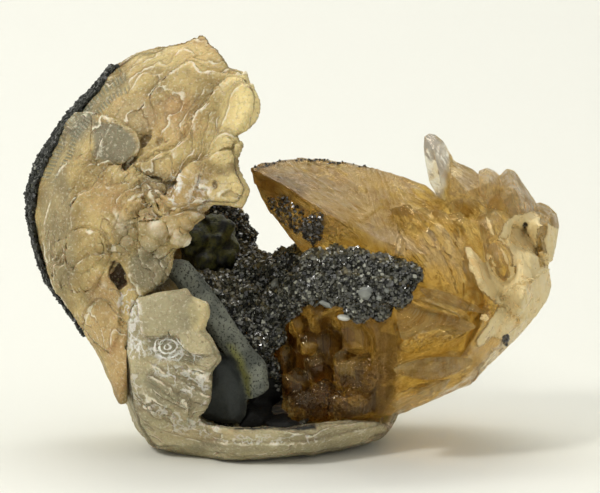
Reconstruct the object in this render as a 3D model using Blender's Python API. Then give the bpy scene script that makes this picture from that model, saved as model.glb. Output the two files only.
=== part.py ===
"""Honey calcite crystals grown in a broken fossil clam shell, as faceted solids.

All sizes below are millimetres of the real piece. Outlines are drawn the way the piece is looked at: a
corner is (x, v) on the upright plane through the middle of the piece, and a depth y carries it along its
line of sight.
"""

import math

import bmesh
import bpy
import numpy as np
from mathutils import Vector, noise
from mathutils.bvhtree import BVHTree
from mathutils.geometry import delaunay_2d_cdt

MM = 0.001
EYE = Vector((1.5, -514.9, 110.8))
GAP = 0.3
MERGE = 0.000006

# Upper valve: its outer bend seen against the light, its broken front edge and its broken back edge.
HOOD_BEND = [
    (-33.0, 8.3, -10), (-36.0, 16.1, -8), (-40.1, 22.3, -3), (-44.2, 28.1, 2), (-47.0, 32.0, 4),
    (-49.2, 37.7, 6), (-50.7, 45.0, 6), (-50.0, 51.1, 6), (-47.7, 56.8, 6), (-43.8, 62.5, 6),
    (-39.0, 67.6, 6), (-33.9, 72.9, 5), (-29.0, 75.0, 4), (-24.6, 76.3, 2),
]
HOOD_FRONT = [
    (-32.6, 7.8, -16), (-31.7, 14.0, -18), (-30.4, 22.0, -18), (-26.5, 29.5, -18.5), (-20.5, 36.0, -19.5),
    (-14.0, 41.0, -21), (-7.0, 45.0, -21.5), (-5.2, 53.0, -20.5), (-4.6, 60.0, -19), (-4.8, 66.0, -17),
    (-6.6, 71.2, -15), (-11.6, 76.0, -12), (-16.3, 78.6, -8),
]
HOOD_BREAK = [
    (-31.2, 25.5), (-29.6, 28.1), (-27.1, 30.0), (-24.2, 32.0),
    (-22.8, 34.8), (-22.6, 37.2), (-20.5, 40.0),
    (-19.4, 42.3), (-16.5, 45.0), (-15.0, 46.7), (-12.5, 46.3), (-9.3, 45.8), (-8.0, 49.2), (-10.4, 53.0),
    (-10.8, 55.5), (-10.2, 57.6), (-11.2, 59.9), (-8.9, 60.6), (-7.2, 62.1), (-6.4, 64.0), (-6.6, 66.3),
    (-7.9, 69.1), (-9.2, 71.4), (-11.7, 72.0), (-13.2, 74.2), (-14.3, 75.7), (-16.0, 77.0), (-16.2, 78.6),
    (-15.5, 86.0), (30.0, 86.0), (30.0, 15.0),
]
HOOD_BREAK_DEPTHS = (-40.0, -3.0)
HOOD_BACK = [
    (-32.2, 9.0, -6), (-33.0, 12.4, 0), (-31.9, 18.0, 8.5), (-25.2, 26.2, 16), (-16.6, 31.0, 22),
    (-9.0, 35.4, 23), (-8.0, 39.6, 23), (-8.6, 44.4, 22), (-11.8, 48.3, 22), (-17.4, 53.0, 22),
    (-20.6, 58.7, 21), (-22.1, 64.4, 20), (-22.4, 68.2, 19), (-23.2, 71.4, 17.5), (-24.2, 74.2, 15.5),
]
HOOD_ROWS = 17
HOOD_WALL = 4.6
HOOD_EDGE_WALL = 2.8
HOOD_END_WALL = 1.3

# Growth sheets of the upper valve that lie over one another, each with the height of its edge.
HOOD_SHEETS = [
    (0.9, [
        (-39.4, 55.7), (-41.6, 54.2), (-43.6, 51.1), (-44.9, 47.7),
        (-46.1, 44.6), (-46.9, 40.8), (-46.6, 37.3),
        (-45.7, 33.9), (-43.8, 30.4), (-40.8, 25.8), (-37.4, 20.8),
        (-34.4, 18.0), (-32.8, 22.3), (-32.8, 28.1),
        (-33.1, 35.4), (-28.9, 44.4), (-24.1, 49.2), (-30.7, 52.6), (-34.5, 53.8), (-36.9, 53.0),
    ]),
    (1.8, [
        (-32.2, 51.9), (-33.7, 53.2), (-35.2, 52.4), (-36.2, 50.5),
        (-37.9, 49.0), (-39.6, 48.3), (-40.4, 45.8),
        (-41.6, 43.5), (-41.4, 40.4), (-43.0, 38.9), (-43.6, 36.6),
        (-42.6, 33.5), (-40.4, 31.2), (-36.6, 31.2),
        (-34.6, 35.8), (-31.7, 42.5), (-27.3, 46.3), (-29.2, 50.7),
    ]),
    (2.5, [
        (-39.5, 40.4), (-38.0, 41.4), (-36.1, 40.8), (-34.8, 38.5),
        (-35.6, 36.2), (-37.7, 35.0), (-39.9, 36.2),
    ]),
    (0.9, [
        (-25.8, 66.7), (-23.9, 68.9), (-21.5, 71.2), (-19.2, 72.7),
        (-17.7, 72.3), (-15.5, 70.8), (-11.3, 70.3),
        (-9.1, 69.7), (-9.8, 64.4), (-14.6, 59.7), (-19.3, 56.8),
        (-23.1, 57.2), (-24.9, 61.0), (-25.3, 64.0),
    ]),
    (1.9, [
        (-8.7, 69.0), (-10.9, 69.0), (-13.2, 67.4), (-15.5, 65.9),
        (-17.7, 63.7), (-19.3, 61.4), (-21.9, 58.7),
        (-25.0, 57.0), (-27.2, 55.9), (-29.1, 54.5), (-26.9, 52.6),
        (-22.2, 51.1), (-17.4, 52.6), (-12.1, 55.7),
        (-11.6, 59.1), (-8.9, 61.4), (-7.6, 64.0), (-7.6, 66.7),
    ]),
    (2.4, [
        (-11.4, 55.3), (-15.1, 54.9), (-18.2, 53.0), (-20.5, 51.1),
        (-22.8, 48.8), (-24.1, 45.8), (-19.4, 46.0),
        (-15.6, 47.5), (-10.3, 46.9), (-9.1, 49.2), (-11.2, 53.0),
    ]),
    (1.0, [
        (-36.8, 62.7), (-34.0, 62.3), (-31.2, 60.6), (-29.3, 58.9),
        (-28.8, 56.4), (-29.9, 55.3), (-31.4, 54.0),
        (-34.1, 54.4), (-36.7, 54.2), (-37.6, 56.8), (-37.0, 59.9),
    ]),
    (1.6, [
        (-27.3, 44.1), (-25.4, 45.2), (-22.2, 45.8), (-19.0, 45.8),
        (-16.9, 45.8), (-17.8, 44.4), (-20.2, 42.3),
        (-21.2, 40.0), (-23.4, 37.7), (-25.1, 36.6), (-27.0, 39.6),
    ]),
]
SHEET_PITCH = 7.0
NEAR_EDGE_Y = -18.0
KNOBS = [(-32.3, 41.4), (-29.0, 42.4), (-25.6, 41.0), (-30.6, 38.8), (-27.4, 38.4)]
KNOB_RADIUS = 2.7
KNOB_SINK = 1.3
# Pits: place on the drawing, half width, half height, depth.
HOOD_PITS = [(-33.0, 32.9, 1.5, 2.7, 3.2), (-27.9, 58.6, 0.9, 1.4, 1.6), (-27.6, 47.6, 2.4, 1.2, 1.3)]

# Lower valve: rim corners in order round the bowl, each with the corner of the rest face it springs from.
BOWL_RIM = [
    (-31.7, 19.4, -17, -23.5, -4.0), (-31.4, 25.0, -19.5, -22.6, -5.6), (-29.0, 30.2, -21.8, -21.4, -7.2),
    (-24.5, 31.8, -23, -20.2, -8.6), (-19.0, 31.8, -23.6, -19.0, -9.7),
    (-14.0, 29.0, -23.6, -17.7, -10.7),
    (-12.2, 22.5, -23.2, -16.3, -11.6), (-11.8, 14.5, -22.6, -14.6, -12.5),
    (-11.2, 7.4, -21.8, -12.6, -13.2),
    (-9.4, 3.8, -21, -9.6, -12.4), (-5.8, 3.2, -21, -5.8, -10.3),
    (-0.4, 2.5, -21, -0.4, -6.8), (3.4, 3.2, -20, 3.0, -5.2), (8.2, 3.8, -17, 7.5, -1.5),
    (12.6, 4.2, -14, 10.5, 3.0), (16.1, 4.4, -11, 12.5, 7.0), (18.4, 4.0, -6, 13.5, 10.0),
    (20.5, 7.5, 1, 14.2, 13.0), (20.0, 12.0, 10, 14.0, 16.0), (16.5, 17.5, 18, 12.0, 19.5),
    (8.0, 24.0, 24.5, 7.0, 22.5), (-2.0, 28.5, 26.5, -1.0, 24.0), (-11.0, 30.0, 25.5, -9.0, 23.5),
    (-19.0, 27.0, 22.0, -16.5, 20.5), (-26.0, 22.0, 15.5, -22.0, 14.5), (-30.5, 17.0, 8.0, -24.5, 8.5),
    (-32.2, 13.5, -1.0, -24.8, 3.5), (-32.3, 15.5, -9.0, -24.3, -0.5),
]
FLAKE_BREAK = [
    (-33.0, 25.5), (-30.6, 26.4), (-29.6, 28.1), (-25.2, 29.5),
    (-20.0, 30.4), (-19.1, 28.7), (-16.0, 27.5),
    (-15.8, 25.6), (-16.8, 22.3), (-15.1, 20.4), (-13.4, 16.5), (-15.5, 14.2), (-15.5, 9.7), (-16.7, 7.0),
    (-18.1, 5.4), (-16.7, 3.8), (-11.9, 3.1), (-5.8, 3.3), (-5.8, 40.0), (-34.0, 40.0),
]
FLAKE_BREAK_DEPTHS = (-40.0, -13.0)
BOWL_DRAWN_Y = -5.0
BOWL_FLOOR = 4.2
BOWL_WALL = 3.4
FLAKE_SHEETS = [
    (0.9, [
        (-29.2, 27.7), (-25.2, 29.0), (-20.3, 29.8), (-19.6, 28.1),
        (-16.8, 27.0), (-16.5, 25.6), (-17.5, 22.3),
        (-19.5, 21.9), (-22.3, 22.7), (-25.6, 22.3), (-28.5, 22.3), (-29.0, 25.2),
    ]),
    (1.5, [
        (-22.9, 22.1), (-17.2, 21.5), (-15.7, 19.9), (-14.2, 16.6),
        (-15.9, 14.9), (-17.6, 15.7), (-19.9, 18.0),
        (-21.8, 20.0),
    ]),
    (0.8, [
        (-27.2, 16.1), (-23.3, 16.9), (-17.6, 15.4), (-16.1, 13.6),
        (-16.1, 9.5), (-17.3, 7.5), (-19.6, 7.7),
        (-23.4, 10.3), (-26.8, 13.0),
    ]),
]

# Calcite: the main mass, seen from in front, and the single crystals by their corners.
MASS = [
    (1.5, 4.2), (7.3, 4.4), (15.3, 3.6), (23.0, 6.8),
    (28.3, 9.1), (34.0, 11.6), (38.8, 16.5), (41.2, 19.4),
    (43.5, 20.8), (46.3, 24.6), (48.6, 28.5), (49.0, 36.2), (47.6, 41.5), (44.0, 46.0), (38.0, 48.5),
    (31.0, 48.0), (24.0, 45.0), (11.0, 37.5), (5.3, 33.5), (-1.4, 26.2), (-3.8, 21.3), (-3.9, 16.9),
    (-2.1, 12.2), (0.0, 7.2),
]
# A rounded lens: how far in front of or behind its middle, and how much of its outline is left there.
PILLOW_RINGS = ((-1.0, 0.36), (-0.76, 0.74), (0.0, 1.0), (0.76, 0.74), (1.0, 0.36))
MASS_MIDDLE_Y = 4.5
MASS_HALF_DEPTH = 18.0
POCKET = [
    (-5.0, 22.0), (1.5, 29.0), (12.0, 30.0), (18.0, 24.0),
    (19.5, 17.0), (15.0, 8.5), (9.0, 4.8), (2.0, 4.8),
    (-3.0, 10.0), (-5.0, 16.0),
]
POCKET_BACK_Y = -3.0
# Rows of dogtooth crystals on the back of the calcite: height, depth, first x, how many.
REAR_ROWS = [(40.0, 14.5, 13.0, 3), (31.5, 20.0, 9.5, 4), (21.5, 20.5, 14.0, 3)]
REAR_PITCH = 9.4
REAR_LENGTH = 13.5
REAR_RADIUS = 7.2
# Crystal ends in the pocket: left, right, top, bottom on the drawing, and depth of the front.
POCKET_STEPS = [
    (-0.6, 2.6, 25.6, 21.0, -6.0), (1.0, 4.8, 22.4, 17.2, -7.0), (2.4, 7.6, 18.2, 11.0, -9.0),
    (3.2, 8.4, 12.8, 5.2, -12.0), (4.6, 8.8, 23.0, 13.0, -6.5), (8.0, 11.6, 19.0, 10.6, -7.5),
    (3.4, 7.0, 25.8, 21.2, -6.0), (7.6, 12.6, 27.0, 22.4, -7.0), (-3.4, 0.6, 20.6, 11.0, -5.5),
    (-1.8, 3.4, 15.6, 5.6, -9.5), (9.8, 20.2, 26.0, 17.0, -8.5), (8.6, 18.0, 18.2, 6.8, -10.5),
    (-0.6, 4.4, 10.8, 4.6, -13.0), (7.2, 15.4, 11.0, 4.6, -13.5), (1.6, 6.2, 29.4, 24.4, -8.0),
]
CRYSTALS = {
    "great_spear": [
        (-7.8, 53.4, -6), (-5.5, 54.4, -4), (-1.3, 54.7, -2),
        (1.5, 55.3, 0), (6.4, 55.1, 2), (10.0, 54.2, 2),
        (15.7, 53.4, 2), (19.5, 52.4, 2), (25.2, 50.4, 2),
        (29.0, 47.1, 0), (-7.2, 50.9, -7), (-5.7, 47.7, -9),
        (-4.2, 45.0, -10), (-0.4, 41.0, -12), (3.8, 36.6, -13), (-1.3, 50.0, -13), (7.2, 44.4, -19),
        (16.7, 39.6, -20), (25.3, 36.8, -19), (7.2, 31.0, -13), (20.6, 28.5, -13), (30.1, 30.0, -12),
        (34.2, 39.6, -8), (1.5, 52.1, 8), (12.9, 50.2, 14),
        (26.1, 46.3, 14), (7.2, 39.6, 8), (20.5, 32.0, 12),
        (31.9, 35.8, 12),
    ],
    "clear_upright": [
        (24.9, 56.8, 0), (24.9, 59.5, 1), (25.9, 60.2, 2),
        (27.2, 59.9, 2), (28.5, 58.9, 2), (29.1, 57.4, 2),
        (30.3, 55.1, 3), (31.8, 53.0, 3), (32.4, 50.2, 2),
        (29.4, 46.7, 0), (27.7, 47.7, 0), (25.9, 50.7, -1),
        (25.2, 54.0, 0), (26.8, 56.8, -3), (28.0, 51.9, -4), (27.2, 57.2, 6), (29.1, 50.7, 8),
    ],
    "pink_upright": [
        (29.7, 55.5, 3), (31.8, 54.2, 3), (34.8, 52.8, 4),
        (37.2, 50.2, 2), (37.0, 43.5, -4), (31.0, 42.5, -5),
        (29.0, 46.6, -1), (30.3, 52.1, -3), (33.2, 49.0, -7), (32.2, 51.1, 9), (33.7, 45.3, 12),
    ],
    "knob_crest": [
        (35.4, 52.9, 5), (36.9, 53.6, 5.4), (38.4, 53.0, 5),
        (39.5, 51.8, 5), (41.0, 49.4, 3), (40.4, 43.6, -3),
        (35.6, 43.4, -4), (34.4, 49.4, 0), (37.3, 50.6, -5), (37.5, 48.6, 11),
    ],
    "peak_crest": [
        (38.4, 51.2, 5), (39.9, 52.6, 5), (40.7, 53.4, 5),
        (42.1, 53.0, 4.6), (43.4, 51.0, 5), (45.1, 48.6, 4),
        (46.4, 46.6, 3), (46.2, 41.8, -1), (41.0, 41.6, -5.4),
        (38.3, 45.6, -3.2), (41.9, 48.8, -6), (42.3, 47.3, 13),
    ],
    "end_knob": [
        (44.7, 46.3, 6), (47.0, 46.9, 6), (48.9, 46.2, 6),
        (50.4, 44.8, 5), (50.7, 42.3, 4), (50.1, 38.7, 3),
        (49.4, 35.4, 2), (48.1, 35.4, -2), (45.2, 39.3, -4),
        (44.4, 43.5, -3), (47.2, 42.3, -6), (47.1, 41.9, 13),
    ],
    "milky_lens": [
        (36.0, 45.0, -6), (38.5, 46.3, -6), (41.0, 44.4, -7), (42.1, 40.6, -8), (39.7, 38.5, -10),
        (36.5, 39.5, -10), (35.3, 42.5, -9), (38.7, 42.3, -13), (38.5, 42.5, 4),
    ],
    "milky_egg": [
        (37.6, 38.7, -12), (39.5, 39.6, -13), (41.6, 38.1, -12), (42.2, 34.8, -11), (41.1, 31.8, -11),
        (38.6, 31.8, -12), (37.1, 34.3, -13), (39.5, 35.4, -17), (39.5, 35.4, 0),
    ],
    "white_blade": [
        (32.5, 39.6, -12), (33.8, 38.1, -15), (36.1, 32.9, -16), (38.3, 28.1, -15), (37.2, 25.0, -12),
        (34.7, 28.1, -14), (32.7, 33.9, -14), (35.4, 32.7, -19), (35.4, 32.9, 0),
    ],
    "cream_flank": [
        (42.0, 37.7, -9), (45.2, 38.7, -8), (48.7, 35.4, -3),
        (49.3, 31.0, -1), (48.6, 28.1, -2), (45.9, 24.4, -4),
        (43.1, 23.7, -8), (41.1, 26.2, -11), (40.5, 30.2, -13.4), (44.0, 31.0, -15), (44.3, 31.0, 12),
    ],
    "ridge_blade": [
        (43.2, 31.0, -14), (44.7, 31.4, -14), (45.5, 28.1, -13), (44.2, 24.4, -11), (42.3, 24.4, -11),
        (43.8, 28.1, -19), (43.8, 28.1, -4),
    ],
    "peach_arm": [
        (37.7, 27.7, -14), (39.6, 28.1, -13), (39.1, 22.3, -12), (35.7, 18.0, -14), (32.5, 15.3, -15),
        (30.6, 14.0, -15), (34.0, 20.4, -16), (36.6, 25.0, -19), (35.9, 21.3, 0),
    ],
    "chevron_upper": [
        (18.5, 28.1, -16), (19.6, 30.4, -17), (23.4, 31.2, -18), (28.2, 29.6, -19), (32.4, 27.5, -18),
        (35.8, 23.7, -17), (31.1, 23.9, -17), (25.3, 25.0, -17), (20.6, 25.4, -16), (26.3, 27.7, -24),
        (22.1, 28.5, -21), (26.3, 27.1, -4),
    ],
    "chevron_lower": [
        (19.0, 23.9, -16), (22.5, 24.2, -18), (28.2, 23.9, -19), (35.1, 22.7, -17), (32.4, 21.0, -17),
        (28.2, 19.2, -17), (22.9, 17.7, -17), (20.4, 18.4, -16), (24.4, 20.8, -23), (30.1, 22.3, -21),
        (26.3, 21.3, -4),
    ],
    "pale_spear_high": [
        (19.1, 14.9, -19), (24.4, 17.1, -18), (30.2, 18.4, -17), (34.2, 17.9, -14), (33.2, 14.0, -14),
        (28.3, 12.8, -16), (22.5, 13.6, -18), (26.7, 15.5, -22), (29.2, 15.5, -6),
    ],
    "pale_spear_low": [
        (18.5, 7.9, -18), (20.6, 10.3, -18), (26.4, 12.6, -18), (30.6, 13.0, -15), (28.5, 9.7, -13),
        (23.5, 7.2, -13), (20.7, 6.6, -14), (23.7, 9.9, -21), (25.4, 10.3, -4),
    ],
    "dogtooth": [
        (19.0, 36.4, -20), (20.1, 40.8, -21), (20.9, 41.0, -21), (21.6, 36.6, -20), (20.3, 37.5, -24),
        (20.3, 37.7, -12),
    ],
}

# Dark druse: lumps along the bridge, the tongue over the calcite and the skin on the back wall, each with
# its radius (x, v, y, radius).
BRIDGE = [
    (-16.0, 31.2, -4, 3.0), (-14.5, 28.5, -5, 3.6), (-12.6, 30.0, 0, 5.0), (-11.8, 25.8, -5, 4.2),
    (-9.4, 28.1, -2, 5.0), (-9.7, 22.0, -7, 4.3), (-7.0, 18.8, -8, 3.8), (-5.7, 24.2, -5, 5.0),
    (-7.0, 32.7, 2, 5.4), (-1.9, 33.1, 0, 4.9),
    (-1.4, 28.1, -6, 4.5), (-3.3, 21.3, -7, 2.8), (0.7, 34.7, -6, 4.0), (2.1, 31.0, -10, 4.2),
]
TONGUE = [
    (4.9, 34.7, -15, 3.6), (4.5, 30.8, -15, 3.8), (8.2, 35.4, -18, 3.6), (8.2, 31.0, -18, 4.6),
    (12.0, 35.4, -20, 3.2), (12.4, 31.0, -20, 4.8), (12.9, 27.5, -19, 3.6),
    (16.3, 33.9, -20, 3.6), (16.7, 30.0, -20, 4.6), (16.7, 26.6, -19, 2.6), (20.1, 33.5, -20, 3.0),
    (20.4, 30.0, -20, 3.6), (22.6, 32.9, -19, 2.4),
]
WALL_SKIN = [
    (-13.2, 45.2, 15, 3.0), (-10.7, 43.0, 15, 3.0), (-9.2, 39.8, 14, 2.8),
    (-8.8, 36.8, 12, 2.6), (-10.7, 35.4, 10, 3.5),
]
# Lumps that fill the bowl under and behind the bridge: centre and half sizes.
INSIDE_LUMPS = [
    ((-10.0, 10.0, 28.0), (6.5, 7.5, 6.5)), ((-11.0, 3.0, 21.0), (6.5, 8.0, 8.0)),
    ((-3.0, 8.0, 27.0), (6.5, 8.0, 7.5)), ((-5.0, 0.0, 14.0), (6.0, 9.0, 8.0)),
    ((-9.0, -6.0, 7.5), (6.5, 8.5, 4.0)), ((-1.5, -10.0, 6.0), (5.0, 6.0, 2.8)),
    ((-10.5, 13.0, 35.0), (4.0, 3.5, 4.0)),
]
# Nodule: one large lump with smaller ones grown on it (x, v, y, radius).
NODULE = [
    (-15.4, 38.3, 6, 5.6), (-18.1, 40.6, 3, 2.6), (-13.3, 41.2, 4, 2.8), (-16.6, 35.4, 1, 2.6),
    (-12.8, 36.2, 3, 2.4), (-15.2, 43.1, 5, 2.4), (-19.4, 38.1, 3, 2.0),
]
# Grey lining: the rounded band down the wall and the broken plate under it.
LINING_BAND = [
    (-22.1, 34.7, -14), (-19.1, 31.2, -14), (-15.3, 25.8, -14), (-11.1, 19.4, -14), (-7.2, 14.9, -14),
    (-6.5, 9.7, -14),
]
LINING_RADIUS = 2.3
LINING_DEPTH = 9.0
LINING_PLATE = [
    (-18.2, 6.0), (-16.1, 4.4), (-10.0, 3.8), (-8.8, 5.8),
    (-8.3, 11.8), (-11.7, 17.5), (-14.7, 18.4), (-17.1, 12.6),
]

CRUST_SPAN = (0.15, 0.9)
CRUST_THICKNESS = 1.3


def noise_at(point, scale, seed):
    """Smooth noise between about -1 and 1 at a point given in millimetres."""
    return noise.noise(Vector(point) / scale + Vector((seed * 7.3, seed * 3.1, seed * 5.7)))


def drawn(x, v, y):
    """The point at depth y on the line of sight through (x, v)."""
    return EYE + (Vector((x, 0.0, v)) - EYE) * ((y - EYE.y) / -EYE.y)


def drawn_all(corners):
    return np.array([drawn(*corner) for corner in corners])


def smooth_curve(corners, shares):
    """Points of a smooth curve through the corners, at shares of its length."""
    knots = np.concatenate([[0.0], np.cumsum(np.linalg.norm(np.diff(corners, axis=0), axis=1))])
    knots /= knots[-1]
    last = len(corners) - 1
    points = []
    for share in shares:
        i = min(int(np.searchsorted(knots, share, side="right")) - 1, last - 1)
        t = (share - knots[i]) / (knots[i + 1] - knots[i])
        before, after = corners[max(i - 1, 0)], corners[min(i + 2, last)]
        here, there = corners[i], corners[i + 1]
        points.append(0.5 * (
            2 * here
            + (there - before) * t
            + (2 * before - 5 * here + 4 * there - after) * t ** 2
            + (3 * here - before - 3 * there + after) * t ** 3
        ))
    return np.array(points)


def principled(name, colour, roughness):
    material = bpy.data.materials.new(name)
    material.use_nodes = True
    shader = material.node_tree.nodes["Principled BSDF"]
    shader.inputs["Base Color"].default_value = (*colour, 1.0)
    shader.inputs["Roughness"].default_value = roughness
    return material


def solid(name, points, faces):
    """A closed, triangulated object from millimetre points, its faces turned outwards."""
    mesh = bpy.data.meshes.new(name)
    mesh.from_pydata([Vector(p) * MM for p in points], [], faces)
    shape = bmesh.new()
    shape.from_mesh(mesh)
    bmesh.ops.triangulate(shape, faces=shape.faces)
    bmesh.ops.recalc_face_normals(shape, faces=shape.faces)
    shape.to_mesh(mesh)
    shape.free()
    result = bpy.data.objects.new(name, mesh)
    bpy.context.scene.collection.objects.link(result)
    return result


def sight_prism(name, outline, depths):
    """A straight-sided block along the lines of sight through an outline, between two depths."""
    points = [drawn(x, v, y) for y in depths for x, v in outline]
    count = len(outline)
    faces = [tuple(range(count)), tuple(range(2 * count - 1, count - 1, -1))]
    for i in range(count):
        k = (i + 1) % count
        faces.append((i, k, count + k, count + i))
    return solid(name, points, faces)


def hull(name, points):
    """The smallest convex solid round the points."""
    shape = bmesh.new()
    for point in points:
        shape.verts.new(Vector(point))
    made = bmesh.ops.convex_hull(shape, input=shape.verts)
    spare = [item for item in made["geom_interior"] if isinstance(item, bmesh.types.BMVert)]
    bmesh.ops.delete(shape, geom=spare, context="VERTS")
    shape.verts.index_update()
    corners = [vert.co.copy() for vert in shape.verts]
    faces = [[vert.index for vert in face.verts] for face in shape.faces]
    shape.free()
    return solid(name, corners, faces)


def combine(target, tool, operation):
    """Applies one Boolean step to the target and removes the tool."""
    step = target.modifiers.new(operation.lower(), "BOOLEAN")
    step.operation = operation
    step.solver = "EXACT"
    step.object = tool
    graph = bpy.context.evaluated_depsgraph_get()
    mesh = bpy.data.meshes.new_from_object(target.evaluated_get(graph))
    target.modifiers.clear()
    target.data = mesh
    bpy.data.objects.remove(tool)
    return target


def unite(target, tools):
    for tool in tools:
        combine(target, tool, "UNION")
    return target


def cut(target, tools):
    for tool in tools:
        combine(target, tool, "DIFFERENCE")
    return target


def named(target, name):
    target.name = name
    return target


def tidy(target, material):
    """Merges doubled corners, keeps the largest body only, and sets the material."""
    shape = bmesh.new()
    shape.from_mesh(target.data)
    bmesh.ops.remove_doubles(shape, verts=shape.verts, dist=MERGE)
    bmesh.ops.dissolve_degenerate(shape, edges=shape.edges, dist=MERGE)
    bmesh.ops.triangulate(shape, faces=shape.faces)
    bodies = []
    unseen = set(shape.faces)
    while unseen:
        body, front = set(), [unseen.pop()]
        while front:
            face = front.pop()
            body.add(face)
            for edge in face.edges:
                for other in edge.link_faces:
                    if other in unseen:
                        unseen.remove(other)
                        front.append(other)
        bodies.append(body)
    largest = max(bodies, key=len)
    spare = [face for body in bodies if body is not largest for face in body]
    bmesh.ops.delete(shape, geom=spare, context="FACES")
    bmesh.ops.recalc_face_normals(shape, faces=shape.faces)
    shape.to_mesh(target.data)
    shape.free()
    target.data.materials.clear()
    target.data.materials.append(material)
    target.data.name = target.name
    return target


def grid_normals(grid):
    """Unit normals of a grid of points, from its neighbours along both ways."""
    along = np.gradient(grid, axis=0)
    across = np.gradient(grid, axis=1)
    normals = np.cross(across, along)
    return normals / np.maximum(np.linalg.norm(normals, axis=2, keepdims=True), 1e-9)


def sheet_between(name, outer, inner):
    """A closed solid between two grids of the same size."""
    rows, columns = outer.shape[:2]
    points = np.concatenate([outer.reshape(-1, 3), inner.reshape(-1, 3)])
    half = rows * columns
    faces = []
    for i in range(rows - 1):
        for j in range(columns - 1):
            a, d = i * columns + j, (i + 1) * columns + j
            b, c = a + 1, d + 1
            faces += [(a, b, c, d), (half + d, half + c, half + b, half + a)]
    ring = [j for j in range(columns)]
    ring += [i * columns + columns - 1 for i in range(1, rows)]
    ring += [(rows - 1) * columns + j for j in range(columns - 2, -1, -1)]
    ring += [i * columns for i in range(rows - 2, 0, -1)]
    for a, b in zip(ring, ring[1:] + ring[:1]):
        faces.append((b, a, half + a, half + b))
    return solid(name, points, faces)


def hood_grid(shares, fronts, angles):
    """The upper valve's outer surface: rows along its bend, columns from back edge to front edge."""
    bend = smooth_curve(drawn_all(HOOD_BEND), shares)
    backs = smooth_curve(drawn_all(HOOD_BACK), shares)
    rows = []
    for ridge, back, front in zip(bend, backs, fronts):
        row = []
        for angle in angles:
            edge = front if angle > 0 else back
            turn = abs(math.sin(angle))
            inward = 1.0 - math.cos(angle)
            row.append(ridge + (edge - ridge) * np.array([inward, turn, inward]))
        rows.append(row)
    return np.array(rows)


def hood_angles():
    return [math.radians(a) for a in (-90, -67, -44, -22, 0, 18, 40, 64, 90)]


def wavy(grid, normals, height, scale, seed):
    """Moves a grid's points along their normals by smooth noise."""
    moved = grid.copy()
    for i in range(grid.shape[0]):
        for j in range(grid.shape[1]):
            moved[i, j] += normals[i, j] * height * noise_at(grid[i, j], scale, seed)
    return moved


def hood_surfaces(grow):
    """Outer and inner grid of the upper valve, each moved out by grow."""
    shares = np.linspace(0.0, 1.0, HOOD_ROWS)
    outer = hood_grid(shares, smooth_curve(drawn_all(HOOD_FRONT), shares), hood_angles())
    normals = grid_normals(outer)
    first, last = CRUST_SPAN
    under_crust = np.clip((shares - first) / 0.06, 0, 1) * np.clip((last - shares) / 0.06, 0, 1)
    across = np.array(hood_angles())
    covered = np.clip((math.radians(30) - across) / math.radians(20), 0, 1)
    sunk = (CRUST_THICKNESS * under_crust[:, None] * covered[None, :])[:, :, None]
    shell = wavy(outer, normals, 0.35, 7.0, 1) - normals * sunk
    edge = np.cos(across * 0.98)[None, :] ** 0.5
    ends = np.clip(np.minimum(shares, 1 - shares) / 0.15, 0, 1)[:, None]
    edge_wall = HOOD_END_WALL + (HOOD_EDGE_WALL - HOOD_END_WALL) * ends
    wall = edge_wall + (HOOD_WALL - HOOD_EDGE_WALL) * edge * ends
    return shell + normals * grow, shell - normals * (wall[:, :, None] + grow)


def blob(name, centre, radii, detail, roughness, seed):
    """A lump: a sphere of triangles pushed in and out by noise."""
    shape = bmesh.new()
    bmesh.ops.create_icosphere(shape, subdivisions=detail, radius=1.0)
    points = []
    for vert in shape.verts:
        direction = vert.co.normalized()
        swell = 1.0 + roughness * noise_at(direction * 3.0, 1.6, seed)
        reach = Vector((direction.x * radii[0], direction.y * radii[1], direction.z * radii[2]))
        points.append(Vector(centre) + reach * swell)
    faces = [[vert.index for vert in face.verts] for face in shape.faces]
    shape.free()
    return solid(name, points, faces)


def growth_sheet(name, tree, outline, rise):
    """A thin sheet lying on a surface, with an upright edge all round."""
    flat = [Vector(corner) for corner in outline]
    edges = [(i, (i + 1) % len(flat)) for i in range(len(flat))]
    xs = [corner.x for corner in flat]
    vs = [corner.y for corner in flat]
    filling = []
    for i in range(int((max(xs) - min(xs)) / SHEET_PITCH)):
        for j in range(int((max(vs) - min(vs)) / SHEET_PITCH)):
            filling.append(Vector((min(xs) + (i + 0.6) * SHEET_PITCH, min(vs) + (j + 0.6) * SHEET_PITCH)))
    boundary = [list(range(len(flat)))]
    places, _, triangles, _, _, _ = delaunay_2d_cdt(flat + filling, edges, boundary, 2, 0.01)
    top, bottom = [], []
    for place in places:
        sight = (Vector((place.x, 0.0, place.y)) - EYE).normalized()
        hit, normal, _, _ = tree.ray_cast(EYE, sight)
        if hit is None:
            hit, _, _, _ = tree.find_nearest(drawn(place.x, place.y, NEAR_EDGE_Y))
            normal = -sight
        if normal.dot(sight) > 0:
            normal = -normal
        top.append(hit + normal * rise * (1.0 + 0.2 * noise_at(hit, 4.0, 5)))
        bottom.append(hit - normal * 1.2)
    half = len(places)
    faces = [tuple(t) for t in triangles] + [tuple(half + k for k in reversed(t)) for t in triangles]
    used = {}
    for t in triangles:
        for a, b in ((t[0], t[1]), (t[1], t[2]), (t[2], t[0])):
            used[(a, b)] = True
    faces += [(b, a, half + a, half + b) for a, b in used if (b, a) not in used]
    return solid(name, top + bottom, faces)


def surface_tree(target):
    """The object's surface in millimetres, for finding where a line of sight meets it."""
    mesh = target.data
    points = [vert.co / MM for vert in mesh.vertices]
    return BVHTree.FromPolygons(points, [tuple(face.vertices) for face in mesh.polygons])


def sight_hit(tree, x, v):
    hit, _, _, _ = tree.ray_cast(EYE, (Vector((x, 0.0, v)) - EYE).normalized())
    if hit is None:
        hit, _, _, _ = tree.find_nearest(drawn(x, v, NEAR_EDGE_Y))
    return hit


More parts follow.
